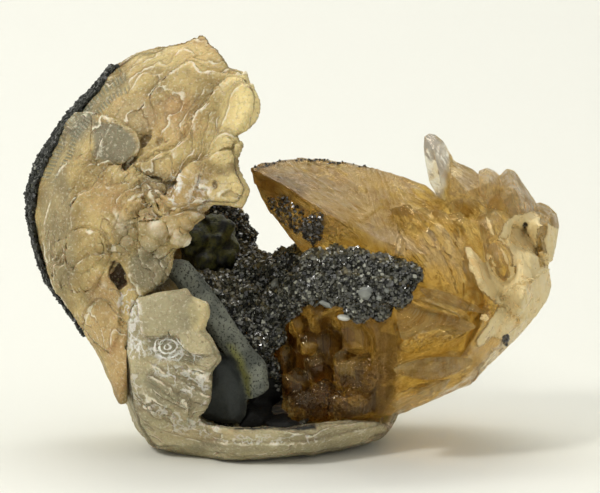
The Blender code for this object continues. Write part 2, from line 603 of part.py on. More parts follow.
def upper_valve(name, grow=0.0):
    """The standing valve; grown a little when it serves to cut its neighbours back."""
    outer, inner = hood_surfaces(grow)
    shell = sheet_between(name, outer, inner)
    if grow:
        return shell
    cut(shell, [sight_prism("hood_break", HOOD_BREAK, HOOD_BREAK_DEPTHS)])
    tree = surface_tree(shell)
    for rise, outline in HOOD_SHEETS:
        unite(shell, [growth_sheet("growth_sheet", tree, outline, rise)])
    tree = surface_tree(shell)
    for number, (x, v) in enumerate(KNOBS):
        centre = sight_hit(tree, x, v) + Vector((0.0, KNOB_SINK, 0.0))
        unite(shell, [blob("knob", centre, [KNOB_RADIUS] * 3, 1, 0.25, number)])
    for number, (x, v, half_width, half_height, depth) in enumerate(HOOD_PITS):
        cut(shell, [blob("pit", sight_hit(tree, x, v), (half_width, depth, half_height), 1, 0.4, number)])
    return shell


def bowl_rings(grow):
    """Rings of points of the lower valve, from the rest face up the outside and down the inside."""
    rims = np.array([
        drawn(x, v, y) if y < BOWL_DRAWN_Y else Vector((x, y, v)) for x, v, y, _, _ in BOWL_RIM
    ])
    feet = np.array([(fx, fy, 0.0) for _, _, _, fx, fy in BOWL_RIM])
    middle = feet.mean(axis=0)
    rings = []
    outward = rims - middle
    outward[:, 2] = 0.0
    outward /= np.linalg.norm(outward, axis=1, keepdims=True)
    for turn in (0.0, 0.25, 0.5, 0.75, 1.0):
        angle = turn * math.pi / 2
        reach, climb = math.sin(angle), 1.0 - math.cos(angle)
        ring = feet + (rims - feet) * np.array([reach, reach, climb])
        ring += outward * grow
        rings.append(ring)
    inner_rims = rims - outward * BOWL_WALL
    inner_feet = feet + (middle - feet) * 0.16
    rings[-1][:, 2] += grow
    for turn in (1.0, 0.7, 0.35, 0.0):
        angle = turn * math.pi / 2
        reach, climb = math.sin(angle), 1.0 - math.cos(angle)
        ring = inner_feet + (inner_rims - inner_feet) * np.array([reach, reach, 0.0])
        ring[:, 2] = BOWL_FLOOR + grow + (inner_rims[:, 2] - BOWL_FLOOR) * climb
        ring -= outward * grow
        rings.append(ring)
    return rings, middle


def lower_valve(name, grow=0.0):
    """The bowl that the piece rests on, with the tall flake of its rim at the left."""
    rings, middle = bowl_rings(grow)
    around = len(BOWL_RIM)
    points = [middle] + [point for ring in rings for point in ring]
    points.append(np.array([middle[0], middle[1], BOWL_FLOOR + grow]))
    faces = []
    for i in range(around):
        k = (i + 1) % around
        faces.append((0, 1 + k, 1 + i))
        for level in range(len(rings) - 1):
            low, high = 1 + level * around, 1 + (level + 1) * around
            faces.append((low + i, low + k, high + k, high + i))
        last = 1 + (len(rings) - 1) * around
        faces.append((last + i, last + k, len(points) - 1))
    shell = solid(name, points, faces)
    if grow:
        return shell
    cut(shell, [sight_prism("flake_break", FLAKE_BREAK, FLAKE_BREAK_DEPTHS)])
    tree = surface_tree(shell)
    for rise, outline in FLAKE_SHEETS:
        unite(shell, [growth_sheet("flake_sheet", tree, outline, rise)])
    return shell


def crystal(corners, grow):
    """One flat-faced crystal from its corners, swollen by grow."""
    points = np.array(corners)
    away = points - points.mean(axis=0)
    away /= np.linalg.norm(away, axis=1, keepdims=True)
    return hull("crystal", points + away * grow * 1.6)


def pillow(name, outline, middle_y, half_depth, grow=0.0):
    """A rounded lens: the outline at its middle depth, drawn in towards front and back."""
    base = np.array([drawn(x, v, middle_y) for x, v in outline])
    centre = base.mean(axis=0)
    points = []
    for depth, size in PILLOW_RINGS:
        for corner in base:
            away = corner - centre
            point = centre + away * size + away / np.linalg.norm(away) * grow
            points.append(point + np.array([0.0, depth * (half_depth + grow), 0.0]))
    return hull(name, points)


def spear(foot, tip, radius, spin):
    """Corners of a dogtooth crystal: six ribs, long and short by turns, that meet in a point."""
    foot, tip = Vector(foot), Vector(tip)
    axis = (tip - foot).normalized()
    side = axis.orthogonal().normalized()
    other = axis.cross(side)
    corners = [tip]
    for k in range(6):
        angle = spin + k * math.pi / 3
        reach = radius * (1.0 if k % 2 else 0.78)
        spoke = side * math.cos(angle) + other * math.sin(angle)
        corners.append(foot + spoke * reach)
        corners.append(foot.lerp(tip, 0.35 if k % 2 else 0.5) + spoke * reach * 0.72)
    corners.append(foot - axis * radius * 0.5)
    return corners


def rear_spears():
    """Dogtooth crystals over the back of the mass, row above row like roof tiles."""
    made = []
    for row, (height, depth, first, count) in enumerate(REAR_ROWS):
        for k in range(count):
            x = first + REAR_PITCH * k + 1.2 * noise_at((k, row, 0.0), 0.7, 3)
            z = height - 0.012 * (x - 24.0) ** 2
            y = depth - 0.014 * (x - 20.0) ** 2
            lean = Vector(((x - 24.0) * 0.022, 0.62 + 0.2 * row, 0.75 - 0.25 * row)).normalized()
            foot = Vector((x, y, z)) - lean * 3.0
            length = REAR_LENGTH + 2.0 * noise_at((k, row, 4.0), 0.6, 8)
            made.append(spear(foot, foot + lean * length, REAR_RADIUS, 0.7 * k + row))
    return made


def fan_blades():
    """Broad low blades that sweep down to the right of the great spear and lap over one another."""
    made = []
    for k in range(5):
        top_x, top_v = 20.5 + 3.2 * k, 46.2 - 0.5 * k
        mid_x, mid_v = 25.6 + 2.8 * k, 38.0 + 0.3 * k
        low_x, low_v = 31.0 + 1.8 * k, 28.4 + 0.6 * k
        y = -14.6 + 1.1 * k
        made.append(drawn_all([
            (top_x - 2.2, top_v - 0.6, y + 2.6), (top_x + 1.8, top_v + 0.4, y + 1.6),
            (mid_x - 3.2, mid_v - 0.5, y + 1.4), (mid_x + 2.4, mid_v + 0.6, y - 0.2),
            (low_x - 1.8, low_v, y + 1.2), (low_x + 1.2, low_v + 0.4, y + 0.8),
            (mid_x + 1.4, mid_v + 2.4, y - 1.8), (mid_x + 2.3, mid_v - 4.0, y - 1.2),
            (mid_x, mid_v, y + 12.0),
        ]))
    return made


def pocket_steps():
    """Stepped crystal ends that line the deep pocket under the great spear."""
    made = []
    for number, (left, right, top, bottom, y) in enumerate(POCKET_STEPS):
        x, v = (left + right) / 2, (top + bottom) / 2
        w, h = (right - left) / 2, (top - bottom) / 2
        tilt = 1.5 * noise_at((x, v, number), 3.1, 6)
        made.append(drawn_all([
            (left, v - 0.7 * h, y + 1.4 - tilt), (x - 0.3 * w, bottom, y + 1.6 - tilt),
            (right, v - 0.5 * h, y + 1.8 - tilt), (right + 0.1 * w, v + 0.55 * h, y + 1.0),
            (x + 0.2 * w, top, y + 0.5 + tilt), (left - 0.1 * w, v + 0.6 * h, y + 0.2 + tilt),
            (x - 0.35 * w, v + 0.45 * h, y - 0.8 + tilt), (x + 0.45 * w, v + 0.2 * h, y - 0.5),
            (x + 0.1 * w, v - 0.55 * h, y - 0.8 - tilt), (x, v, y + 10.0),
        ]))
    return made


def calcite_crystals(name, grow=0.0):
    """All the calcite as one solid: the mass with its pocket, and the crystals grown through it."""
    body = pillow(name, MASS, MASS_MIDDLE_Y, MASS_HALF_DEPTH, grow)
    if not grow:
        front = np.array([drawn(x, v, POCKET_BACK_Y - 25.0) for x, v in POCKET])
        back = np.array([drawn(x, v, POCKET_BACK_Y) for x, v in POCKET])
        centre = back.mean(axis=0)
        cut(body, [hull("pocket", np.concatenate([front, centre + (back - centre) * 0.6]))])
    grown = pocket_steps() + list(map(drawn_all, CRYSTALS.values())) + fan_blades() + rear_spears()
    return unite(body, [crystal(corners, grow) for corners in grown])


def dark_druse(name):
    """The sparkling black crust of the hollow, one body of merged lumps."""
    lumps = []
    for number, (x, v, y, radius) in enumerate(BRIDGE + WALL_SKIN + TONGUE):
        detail = 0 if radius < 3.0 else 1
        lumps.append(blob("lump", drawn(x, v, y), (radius, radius, radius), detail, 0.35, number))
    for number, (centre, radii) in enumerate(INSIDE_LUMPS):
        lumps.append(blob("inside_lump", centre, radii, 1, 0.3, 40 + number))
    return named(unite(lumps[0], lumps[1:]), name)


def dark_nodule(name, grow=0.0):
    """The lumpy nodule in the hollow of the upper valve."""
    lumps = []
    for number, (x, v, y, radius) in enumerate(NODULE):
        reach = radius + grow * 1.5
        detail = 2 if radius > 5.0 else 1
        lumps.append(blob("nodule_lump", drawn(x, v, y), (reach, reach, reach), detail, 0.4, 60 + number))
    return named(unite(lumps[0], lumps[1:]), name)


def grey_lining(name, grow=0.0):
    """The rounded mud band down the wall and the broken plate below it, one body."""
    path = smooth_curve(drawn_all(LINING_BAND), np.linspace(0.0, 1.0, 7))
    parts = []
    for k in range(len(path) - 1):
        points = []
        for place in (path[k], path[k + 1]):
            for step in range(6):
                angle = step * math.pi / 3
                spoke = np.array([math.cos(angle), 0.8 * math.sin(angle), 0.5 * math.cos(angle)])
                points.append(place + (LINING_RADIUS + grow) * spoke)
            points.append(place + np.array([-0.6, LINING_DEPTH + grow, 0.0]))
        overlap = np.array([0.0, 0.0, 0.3])
        parts.append(hull("band_piece", points + [path[k] + overlap, path[k + 1] - overlap]))
    parts.append(pillow("plate", LINING_PLATE, -12.0, 4.5, grow))
    return named(unite(parts[0], parts[1:]), name)


def outer_crust(name):
    """The crust of tiny crystals on the back of the upper valve."""
    shares = np.linspace(CRUST_SPAN[0] + 0.02, CRUST_SPAN[1] - 0.02, 14)
    angles = [math.radians(a) for a in (-84, -63, -42, -21, 0, 10, 19)]
    fronts = smooth_curve(drawn_all(HOOD_FRONT), shares)
    grid = hood_grid(shares, fronts, angles)
    normals = grid_normals(grid)
    outer = wavy(grid, normals, 0.45, 2.5, 9)
    return sheet_between(name, outer, grid - normals * 2.6)


def settle_on_footprint(pieces):
    """Moves the whole piece so that its box stands centred on the origin with its rest face at zero."""
    points = np.array([vert.co for piece in pieces for vert in piece.data.vertices])
    low, high = points.min(axis=0), points.max(axis=0)
    shift = Vector((-(low[0] + high[0]) / 2, -(low[1] + high[1]) / 2, 0.0))
    for piece in pieces:
        for vert in piece.data.vertices:
            vert.co += shift


def main():
    for item in list(bpy.data.objects):
        bpy.data.objects.remove(item)
    lower = lower_valve("lower_valve")
    upper = cut(upper_valve("upper_valve"), [lower_valve("lower_room", GAP)])
    calcite = cut(calcite_crystals("calcite_crystals"), [lower_valve("lower_room", GAP)])
    lining = cut(grey_lining("grey_lining"), [
        lower_valve("lower_room", GAP),
        upper_valve("upper_room", GAP),
        calcite_crystals("calcite_room", GAP),
    ])
    nodule = cut(dark_nodule("dark_nodule"), [upper_valve("upper_room", GAP)])
    druse = cut(dark_druse("dark_druse"), [
        lower_valve("lower_room", GAP),
        upper_valve("upper_room", GAP),
        calcite_crystals("calcite_room", GAP),
        grey_lining("lining_room", GAP),
        dark_nodule("nodule_room", GAP),
    ])
    crust = cut(outer_crust("outer_crust"), [
        upper_valve("upper_room", GAP),
        lower_valve("lower_room", GAP),
    ])
    pieces = [
        tidy(lower, principled("chalky_shell", (0.76, 0.68, 0.55), 0.6)),
        tidy(upper, principled("cream_shell", (0.72, 0.58, 0.40), 0.55)),
        tidy(calcite, principled("honey_calcite", (0.62, 0.38, 0.12), 0.12)),
        tidy(lining, principled("grey_mud", (0.20, 0.21, 0.20), 0.8)),
        tidy(nodule, principled("olive_brown_stone", (0.07, 0.07, 0.035), 0.6)),
        tidy(druse, principled("black_sparkling_crystal", (0.06, 0.06, 0.055), 0.3)),
        tidy(crust, principled("black_granular_crystal", (0.05, 0.05, 0.045), 0.4)),
    ]
    settle_on_footprint(pieces)


main()
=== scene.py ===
"""Looks of honey calcite grown in a broken fossil clam shell, dressed over the solids of the shared frame.

Lengths are in millimetres until a mesh is made. The front is drawn as the photograph shows it: a place
(x, v) lies on an upright plane through the object, and stands for the whole line of sight through it.
"""

from __future__ import annotations

import itertools
import logging
import math
from dataclasses import dataclass
from enum import Enum

import bmesh
import bpy
import numpy as np
from mathutils import Matrix, Vector
from mathutils.bvhtree import BVHTree

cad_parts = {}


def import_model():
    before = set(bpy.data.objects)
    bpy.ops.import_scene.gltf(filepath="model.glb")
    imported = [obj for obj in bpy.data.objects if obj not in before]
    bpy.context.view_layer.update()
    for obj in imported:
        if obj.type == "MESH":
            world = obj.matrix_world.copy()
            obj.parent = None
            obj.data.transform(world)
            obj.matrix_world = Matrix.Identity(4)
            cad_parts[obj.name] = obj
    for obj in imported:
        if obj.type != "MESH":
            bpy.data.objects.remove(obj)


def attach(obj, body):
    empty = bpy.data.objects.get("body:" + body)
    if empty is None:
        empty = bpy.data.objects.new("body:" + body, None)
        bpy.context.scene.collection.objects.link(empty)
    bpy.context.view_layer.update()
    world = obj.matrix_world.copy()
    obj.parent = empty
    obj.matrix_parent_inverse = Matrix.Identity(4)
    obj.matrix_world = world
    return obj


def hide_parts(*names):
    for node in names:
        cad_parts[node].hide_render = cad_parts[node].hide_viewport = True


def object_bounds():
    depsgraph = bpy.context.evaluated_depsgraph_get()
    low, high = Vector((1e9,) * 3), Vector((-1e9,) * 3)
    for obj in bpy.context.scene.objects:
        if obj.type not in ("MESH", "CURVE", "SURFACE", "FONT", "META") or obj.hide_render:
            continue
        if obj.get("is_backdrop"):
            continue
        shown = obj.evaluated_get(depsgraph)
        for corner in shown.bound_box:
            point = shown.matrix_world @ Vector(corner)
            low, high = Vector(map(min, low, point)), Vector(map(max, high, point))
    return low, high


log = logging.getLogger("calcite")

MM = 0.001
BODY = "root"
FACET_ANGLE = math.radians(24)
LATTICE_PRIMES = np.array([73856093, 19349663, 83492791])
HASH_FACTOR = 1274126177
HASH_TOP = 0xFFFF
SEED_STEP = 17.31
FAR_AWAY = 1e9
SHORTEST_SIDE = 1e-6
FACING_FROM = -0.05
FACING_TO = 0.35
MIX_FIRST = 6
MIX_SECOND = 7
MIX_RESULT = 2
Triple = tuple[float, float, float]
Colour = Triple
Corners = tuple[tuple[float, float], ...]
Socket = bpy.types.NodeSocket
Piece = bpy.types.Object


class Mark(str, Enum):
    """A value kept at each point of a mesh, for its material to read."""

    EDGE = "edge"
    # Raised places that get a painted highlight, and low places that get painted shade.
    CREST = "crest"
    SHADED_HOLLOW = "hollow"
    GROWTH = "growth"
    PEACH = "peach"
    # Grey tone, and painted shadow on the bowl's floor under the crust.
    GREY_AND_SHADOW = "grey"
    YELLOW = "yellow"
    CHALK = "chalk"
    # Darker tone, and painted shade in sunk holes of the shell and in the calcite's pocket.
    DARK_TONE_AND_SHADE = "brown"
    MILK = "milk"
    # Real dirt on the calcite, and painted shadow on the floor of the shell's bowl.
    DIRT_AND_SHADOW = "dirt"
    SHADE = "shade"
    CLEAR = "clear"
    ALONG = "along"
    RIBBED = "ribbed"


def value_noise(points: np.ndarray, size: float, seed: int) -> np.ndarray:
    """Smooth noise over space.

    Args:
        points: One row of coordinates for each place.
        size: Width of one patch of the noise.
        seed: Number that picks the pattern.

    Returns:
        A value from -1 to 1 for each row.
    """
    scaled = np.asarray(points) / size + seed * SEED_STEP
    corner = np.floor(scaled)
    part = scaled - corner
    part = part * part * (3.0 - 2.0 * part)
    corner = corner.astype(np.int64)
    total = np.zeros(len(scaled))
    for step in itertools.product((0, 1), repeat=scaled.shape[1]):
        key = ((corner + step) * LATTICE_PRIMES[: scaled.shape[1]]).sum(axis=1) + seed
        key = (key ^ (key >> 13)) * HASH_FACTOR
        key = (key ^ (key >> 16)) & HASH_TOP
        share = np.prod(np.where(step, part, 1.0 - part), axis=1)
        total += share * (key / (HASH_TOP / 2) - 1.0)
    return total


def rough_noise(points: np.ndarray, size: float, seed: int, layers: int = 3) -> np.ndarray:
    """Value noise with finer layers added.

    Args:
        points: One row of coordinates for each place.
        size: Width of a patch of the widest layer.
        seed: Number that picks the pattern.
        layers: How many layers, each half as wide and half as strong as the one before.

    Returns:
        A value from about -1 to 1 for each row.
    """
    total = sum(value_noise(points, size / 2**layer, seed + layer) / 2**layer for layer in range(layers))
    return total / (2.0 - 2.0 ** (1 - layers))


def smooth_step(low: float, high: float, values: np.ndarray) -> np.ndarray:
    """Values taken from 0 at low to 1 at high with a soft start and end."""
    part = np.clip((values - low) / (high - low), 0.0, 1.0)
    return part * part * (3.0 - 2.0 * part)


def rounded_path(corners: Corners, turns: int = 5) -> np.ndarray:
    """Points of a smooth curve through corners.

    Args:
        corners: Corners in order.
        turns: Points laid on each stretch between two corners.

    Returns:
        One row for each point.
    """
    knots = np.array(corners, dtype=float)
    padded = np.vstack([2 * knots[0] - knots[1], knots, 2 * knots[-1] - knots[-2]])
    points = []
    for a, b, c, d in zip(padded, padded[1:], padded[2:], padded[3:]):
        for t in np.arange(turns) / turns:
            points.append(0.5 * (2 * b + (c - a) * t + (2 * a - 5 * b + 4 * c - d) * t**2
                                 + (3 * b - a - 3 * c + d) * t**3))
    return np.array(points + [knots[-1]])


def side_of_path(flat: np.ndarray, path: np.ndarray) -> tuple[np.ndarray, np.ndarray]:
    """Distance of places from a path, above zero on its right-hand side.

    Args:
        flat: One row (x, v) for each place.
        path: Points of the path in order.

    Returns:
        The signed distance, and how far each place lies beyond the path's ends.
    """
    nearest = np.full(len(flat), FAR_AWAY)
    signed = np.zeros(len(flat))
    beyond = np.zeros(len(flat))
    last = len(path) - 2
    for number, (start, end) in enumerate(zip(path, path[1:])):
        run = end - start
        length = float(np.hypot(*run))
        if length < SHORTEST_SIDE:
            continue
        away = flat - start
        along = away @ run / length
        across = (away[:, 0] * run[1] - away[:, 1] * run[0]) / length
        held = np.clip(along, 0.0, length)
        distance = np.hypot(along - held, across)
        closer = distance < nearest
        nearest[closer] = distance[closer]
        signed[closer] = np.copysign(distance, across)[closer]
        over = np.zeros(len(flat))
        if number == 0:
            over = np.maximum(over, -along)
        if number == last:
            over = np.maximum(over, along - length)
        beyond[closer] = over[closer]
    return signed, beyond


def share_inside(flat: np.ndarray, corners: Corners, soft: float) -> np.ndarray:
    """How far places lie inside an outline.

    Args:
        flat: One row (x, v) for each place.
        corners: Corners of the outline, in either order.
        soft: Width of the soft border, in millimetres.

    Returns:
        A value from 0 well outside to 1 well inside, for each place.
    """
    ring = np.array(corners + corners[:1])
    inside = np.zeros(len(flat), dtype=bool)
    for (ax, av), (bx, bv) in zip(ring, ring[1:]):
        crosses = (av > flat[:, 1]) != (bv > flat[:, 1])
        with np.errstate(divide="ignore", invalid="ignore"):
            cut = ax + (flat[:, 1] - av) * (bx - ax) / (bv - av)
        inside ^= crosses & (flat[:, 0] < cut)
    distance = np.abs(side_of_path(flat, ring)[0])
    return smooth_step(-soft, soft, np.where(inside, distance, -distance))


@dataclass(frozen=True)
class SightDrawing:
    """The upright plane on which the front is drawn, and the eye that its lines of sight leave from."""

    eye: Triple = (1.7, -517.8, 110.8)
    aim: Triple = (1.7, -2.9, 38.4)
    settled: Triple = (0.164, -2.906, 0.0)

    def flat(self, points: np.ndarray) -> np.ndarray:
        """Places on the drawing of points of the frame.

        Args:
            points: One row (x, y, z) for each point.

        Returns:
            One row (x, v) for each point.
        """
        sight = points - np.array(self.eye)
        reach = (self.settled[1] - self.eye[1]) / sight[:, 1]
        hit = np.array(self.eye) + sight * reach[:, None]
        return hit[:, [0, 2]] - np.array((self.settled[0], 0.0))

    def place(self, x: float, v: float, y: float) -> Vector:
        """The point of the frame on the line of sight through a place on the drawing.

        Args:
            x: The place's distance to the right.
            v: Its height on the drawing.
            y: Depth of the point in the frame.

        Returns:
            The point.
        """
        eye = Vector(self.eye)
        drawn = Vector((x, 0.0, v)) + Vector(self.settled)
        return eye + (drawn - eye) * ((y - eye.y) / (drawn.y - eye.y))


DRAWING = SightDrawing()


@dataclass(frozen=True)
class Ledge:
    """The edge of a growth sheet: the sheet lies on the right-hand side of the path and stands proud."""

    corners: Corners
    level: float
    rise: float = 0.9
    reach: float = 5.0
    scallop: float = 0.5
    taper: float = 3.0
    half_step: float = 0.16
    trench_depth: float = 0.16
    trench_at: float = -0.45
    trench_width: float = 0.5

    def path(self) -> np.ndarray:
        """The smooth line of the edge."""
        return rounded_path(self.corners)

    def trench(self, signed: np.ndarray) -> np.ndarray:
        """Depth of the shallow trench at the foot of the edge."""
        return self.trench_depth * np.exp(-(((signed - self.trench_at) / self.trench_width) ** 2))

    def side(self, flat: np.ndarray) -> tuple[np.ndarray, np.ndarray]:
        """Scalloped distance from the edge, and how much of the ledge is left past its ends.

        Args:
            flat: One row (x, v) for each place.

        Returns:
            The signed distance and the share left, for each place.
        """
        signed, beyond = side_of_path(flat, self.path())
        signed = signed + self.scallop * rough_noise(flat, 2.6, 31 + int(self.level), 3)
        return signed, 1.0 - smooth_step(0.0, self.taper, beyond)

    def height(self, signed: np.ndarray, share: np.ndarray) -> np.ndarray:
        """Height of the sheet in millimetres.

        Args:
            signed: Distance of each place from the edge.
            share: How much of the ledge is left at each place.

        Returns:
            The height at each place.
        """
        step = smooth_step(-self.half_step, self.half_step, signed)
        sheet = step * np.exp(-np.maximum(signed, 0.0) / self.reach)
        return self.rise * (sheet - self.trench(signed)) * share


@dataclass(frozen=True)
class Blade(Ledge):
    """A blade of a crystal: the inside of a clockwise outline, with a sharp edge and a domed face."""

    half_step: float = 0.12
    trench_depth: float = 0.25
    trench_at: float = -0.4
    trench_width: float = 0.45
    flat_share: float = 0.6

    def path(self) -> np.ndarray:
        """The smooth line round the blade."""
        return rounded_path(self.corners + self.corners[:1])

    def height(self, signed: np.ndarray, share: np.ndarray) -> np.ndarray:
        """Height of the blade in millimetres.

        Args:
            signed: Distance of each place from the edge.
            share: How much of the blade is left at each place.

        Returns:
            The height at each place.
        """
        dome = 1.0 - np.exp(-np.maximum(signed, 0.0) / self.reach)
        step = smooth_step(-self.half_step, self.half_step, signed)
        face = self.flat_share * step + (1.0 - self.flat_share) * dome
        return self.rise * (face - self.trench(signed)) * share


@dataclass(frozen=True)
class Region:
    """An outlined region of a mark on the drawing."""

    mark: Mark
    corners: Corners
    strength: float = 1.0
    lift: float = 0.0
    soft: float = 0.7
    raggedness: float = 0.4

    def weight(self, flat: np.ndarray) -> np.ndarray:
        """How strongly the region shows at each place, with a slightly ragged border."""
        shift = self.raggedness * rough_noise(flat, 1.8, 71, 2)
        return share_inside(flat + shift[:, None], self.corners, self.soft)


@dataclass(frozen=True)
class Ribs:
    """Fine ribs across a band beside a path, which the finish draws from two marks."""

    corners: Corners
    near: float
    far: float
    to_centre: tuple[float, float] = (14.0, -14.0)

    def lay(self, skin: CarvedSkin) -> None:
        """Marks the band on a skin, and how far along the band each point lies.

        Args:
            skin: The valve's mesh.
        """
        path = rounded_path(self.corners)
        signed, beyond = side_of_path(skin.flat, path)
        middle = path.mean(axis=0) + np.array(self.to_centre)
        turn = np.arctan2(skin.flat[:, 1] - middle[1], skin.flat[:, 0] - middle[0])
        reach = float(np.hypot(*(path.mean(axis=0) - middle)))
        band = smooth_step(self.near, self.near + 0.5, signed)
        band *= 1.0 - smooth_step(self.far - 0.5, self.far, signed)
        skin.add_mark(Mark.RIBBED, band * (1.0 - smooth_step(0.0, 2.0, beyond)) * skin.facing)
        skin.marks[Mark.ALONG] = turn * reach


@dataclass(frozen=True)
class Knob:
    """A small rounded lump on the skin."""

    x: float
    v: float
    radius: float
    roundness: float = 0.8

    def height(self, flat: np.ndarray) -> np.ndarray:
        """Height of the lump at each place, in millimetres."""
        away = np.hypot(flat[:, 0] - self.x, flat[:, 1] - self.v) / self.radius
        return self.roundness * self.radius * np.sqrt(np.clip(1.0 - away**2, 0.0, 1.0))


@dataclass(frozen=True)
class Rings:
    """Rings of chalk and grey round an eye in the shell."""

    x: float
    v: float
    radius: float
    pitch: float
    squash: float = 1.2
    wander: float = 1.6
    chalk_share: float = 0.32
    grey_share: float = 0.4

    def lay(self, skin: CarvedSkin) -> None:
        """Draws the rings on a skin.

        Args:
            skin: The valve's mesh.
        """
        away = np.hypot(skin.flat[:, 0] - self.x, self.squash * (skin.flat[:, 1] - self.v))
        share = (1.0 - smooth_step(0.7 * self.radius, self.radius, away)) * skin.facing
        bent = away + self.wander * rough_noise(skin.points, 2.6, 29, 4)
        wave = np.cos(2.0 * math.pi * bent / self.pitch)
        chalk = skin.marks[Mark.CHALK] - self.chalk_share * share * wave
        grey = skin.marks[Mark.GREY_AND_SHADOW] + self.grey_share * share * (wave + 0.8)
        skin.marks[Mark.CHALK] = np.clip(chalk, 0.0, 1.0)
        skin.marks[Mark.GREY_AND_SHADOW] = np.clip(grey, 0.0, 1.0)


@dataclass(frozen=True)
class Patch:
    """A soft oval patch of a mark on the drawing."""

    mark: Mark
    x: float
    v: float
    half_width: float
    half_height: float
    strength: float = 1.0
    lift: float = 0.0
    raggedness: float = 0.22

    def weight(self, flat: np.ndarray) -> np.ndarray:
        """How strongly the patch shows at each place, with a ragged border."""
        away = np.hypot((flat[:, 0] - self.x) / self.half_width, (flat[:, 1] - self.v) / self.half_height)
        return 1.0 - smooth_step(0.7, 1.15, away + self.raggedness * rough_noise(flat, 3.0, 57, 3))


def write_mark(mesh: bpy.types.Mesh, mark: Mark, values: np.ndarray) -> None:
    """Keeps the values of a mark on a mesh, one for each point."""
    layer = mesh.attributes.new(mark.value, "FLOAT", "POINT")
    layer.data.foreach_set("value", np.ascontiguousarray(values, dtype=np.float32))


@dataclass(frozen=True)
class Room:
    """The box that the pieces stay inside, in millimetres."""

    low: np.ndarray
    high: np.ndarray


class CarvedSkin:
    """A solid of the frame, meshed finely so that its skin can be raised, cut and marked."""

    grazing: float = 0.1

    def __init__(self, node: str, voxel: float, soften: int) -> None:
        """Meshes the solid.

        Args:
            node: Name of the solid in the frame.
            voxel: Width of a face of the new mesh, in millimetres.
            soften: How many rounds of smoothing take off the solid's facets.
        """
        self.node = node
        self.mesh = self.meshed(voxel, soften)
        self.mesh.materials.clear()
        self.marks: dict[Mark, np.ndarray] = {}
        self.take_points()

    def meshed(self, voxel: float, soften: int) -> bpy.types.Mesh:
        """Remeshes the solid in even faces and smooths it.

        Args:
            voxel: Width of a face, in millimetres.
            soften: How many rounds of smoothing it gets.

        Returns:
            The new mesh.
        """
        source = bpy.data.objects[self.node]
        copy = bpy.data.objects.new(f"{self.node}_work", source.data.copy())
        bpy.context.scene.collection.objects.link(copy)
        remesh = copy.modifiers.new("remesh", "REMESH")
        remesh.mode = "VOXEL"
        remesh.voxel_size = voxel * MM
        smooth = copy.modifiers.new("smooth", "SMOOTH")
        smooth.factor = 0.5
        smooth.iterations = soften
        graph = bpy.context.evaluated_depsgraph_get()
        mesh = bpy.data.meshes.new_from_object(copy.evaluated_get(graph))
        bpy.data.objects.remove(copy)
        return mesh

    def refine_front(self) -> None:
        """Halves the faces that the drawing shows."""
        bm = bmesh.new()
        bm.from_mesh(self.mesh)
        bm.normal_update()
        eye = Vector(DRAWING.eye) * MM
        least = self.grazing * eye.length
        shown = [face for face in bm.faces if face.normal.dot(eye - face.calc_center_median()) > least]
        edges = list({edge for face in shown for edge in face.edges})
        bmesh.ops.subdivide_edges(bm, edges=edges, cuts=1, use_grid_fill=True)
        bm.to_mesh(self.mesh)
        bm.free()
        self.take_points()

    def take_points(self) -> None:
        """Reads the points of the mesh as it is now."""
        self.points = np.empty((len(self.mesh.vertices), 3))
        self.mesh.vertices.foreach_get("co", self.points.ravel())
        self.points /= MM
        self.refresh()

    def refresh(self) -> None:
        """Takes the normals and the places on the drawing from the points as they are now."""
        self.mesh.vertices.foreach_set("co", (self.points * MM).ravel())
        self.mesh.update()
        self.normals = np.empty_like(self.points)
        self.mesh.vertex_normals.foreach_get("vector", self.normals.ravel())
        self.flat = DRAWING.flat(self.points)
        to_eye = np.array(DRAWING.eye) - self.points
        to_eye /= np.linalg.norm(to_eye, axis=1, keepdims=True)
        self.facing = smooth_step(FACING_FROM, FACING_TO, (self.normals * to_eye).sum(axis=1))

    def lift(self, heights: np.ndarray) -> None:
        """Moves each point along its normal by its height."""
        self.points += self.normals * heights[:, None]
        self.refresh()

    def even_out(self, shares: np.ndarray, rounds: int) -> None:
        """Draws the points towards the middle of their neighbours.

        Args:
            shares: How far each point goes in a round, from 0 to 1.
            rounds: How many rounds.
        """
        ends = np.empty(len(self.mesh.edges) * 2, dtype=np.int32)
        self.mesh.edges.foreach_get("vertices", ends)
        near, far = ends[0::2], ends[1::2]
        total = len(self.points)
        count = np.bincount(ends, minlength=total)
        for _ in range(rounds):
            for axis in range(3):
                values = self.points[:, axis]
                around = np.bincount(near, values[far], total) + np.bincount(far, values[near], total)
                self.points[:, axis] = values + (around / count - values) * shares
        self.refresh()

    def add_mark(self, mark: Mark, values: np.ndarray) -> None:
        """Adds values to a mark, which starts at zero."""
        self.marks[mark] = self.marks.get(mark, np.zeros(len(self.points))) + values

    def start_marks(self, *marks: Mark) -> None:
        """Starts marks that the finish reads and that nothing may add to."""
        for mark in marks:
            self.add_mark(mark, np.zeros(len(self.points)))

    def patch(self, patches: tuple[Patch | Region, ...]) -> None:
        """Adds patches of marks on the side that the drawing shows.

        Args:
            patches: The patches, whose lift raises or sinks the skin too.
        """
        heights = np.zeros(len(self.points))
        for item in patches:
            weight = item.weight(self.flat) * self.facing
            self.add_mark(item.mark, weight * item.strength)
            heights += weight * item.lift
        self.lift(heights)

    def held_inside(self, room: Room) -> None:
        """Keeps the points inside a box."""
        self.points = np.clip(self.points, room.low, room.high)
        self.refresh()

    def build(self, name: str, material: bpy.types.Material) -> Piece:
        """Makes the object that stands for the solid.

        Args:
            name: Name of the piece.
            material: Its finish.

        Returns:
            The new object, already riding its body in the solid's place.
        """
        for mark, values in self.marks.items():
            write_mark(self.mesh, mark, values)
        self.mesh.shade_smooth()
        self.mesh.materials.append(material)
        self.mesh.name = name
        return dressed(bpy.data.objects.new(name, self.mesh), self.node)


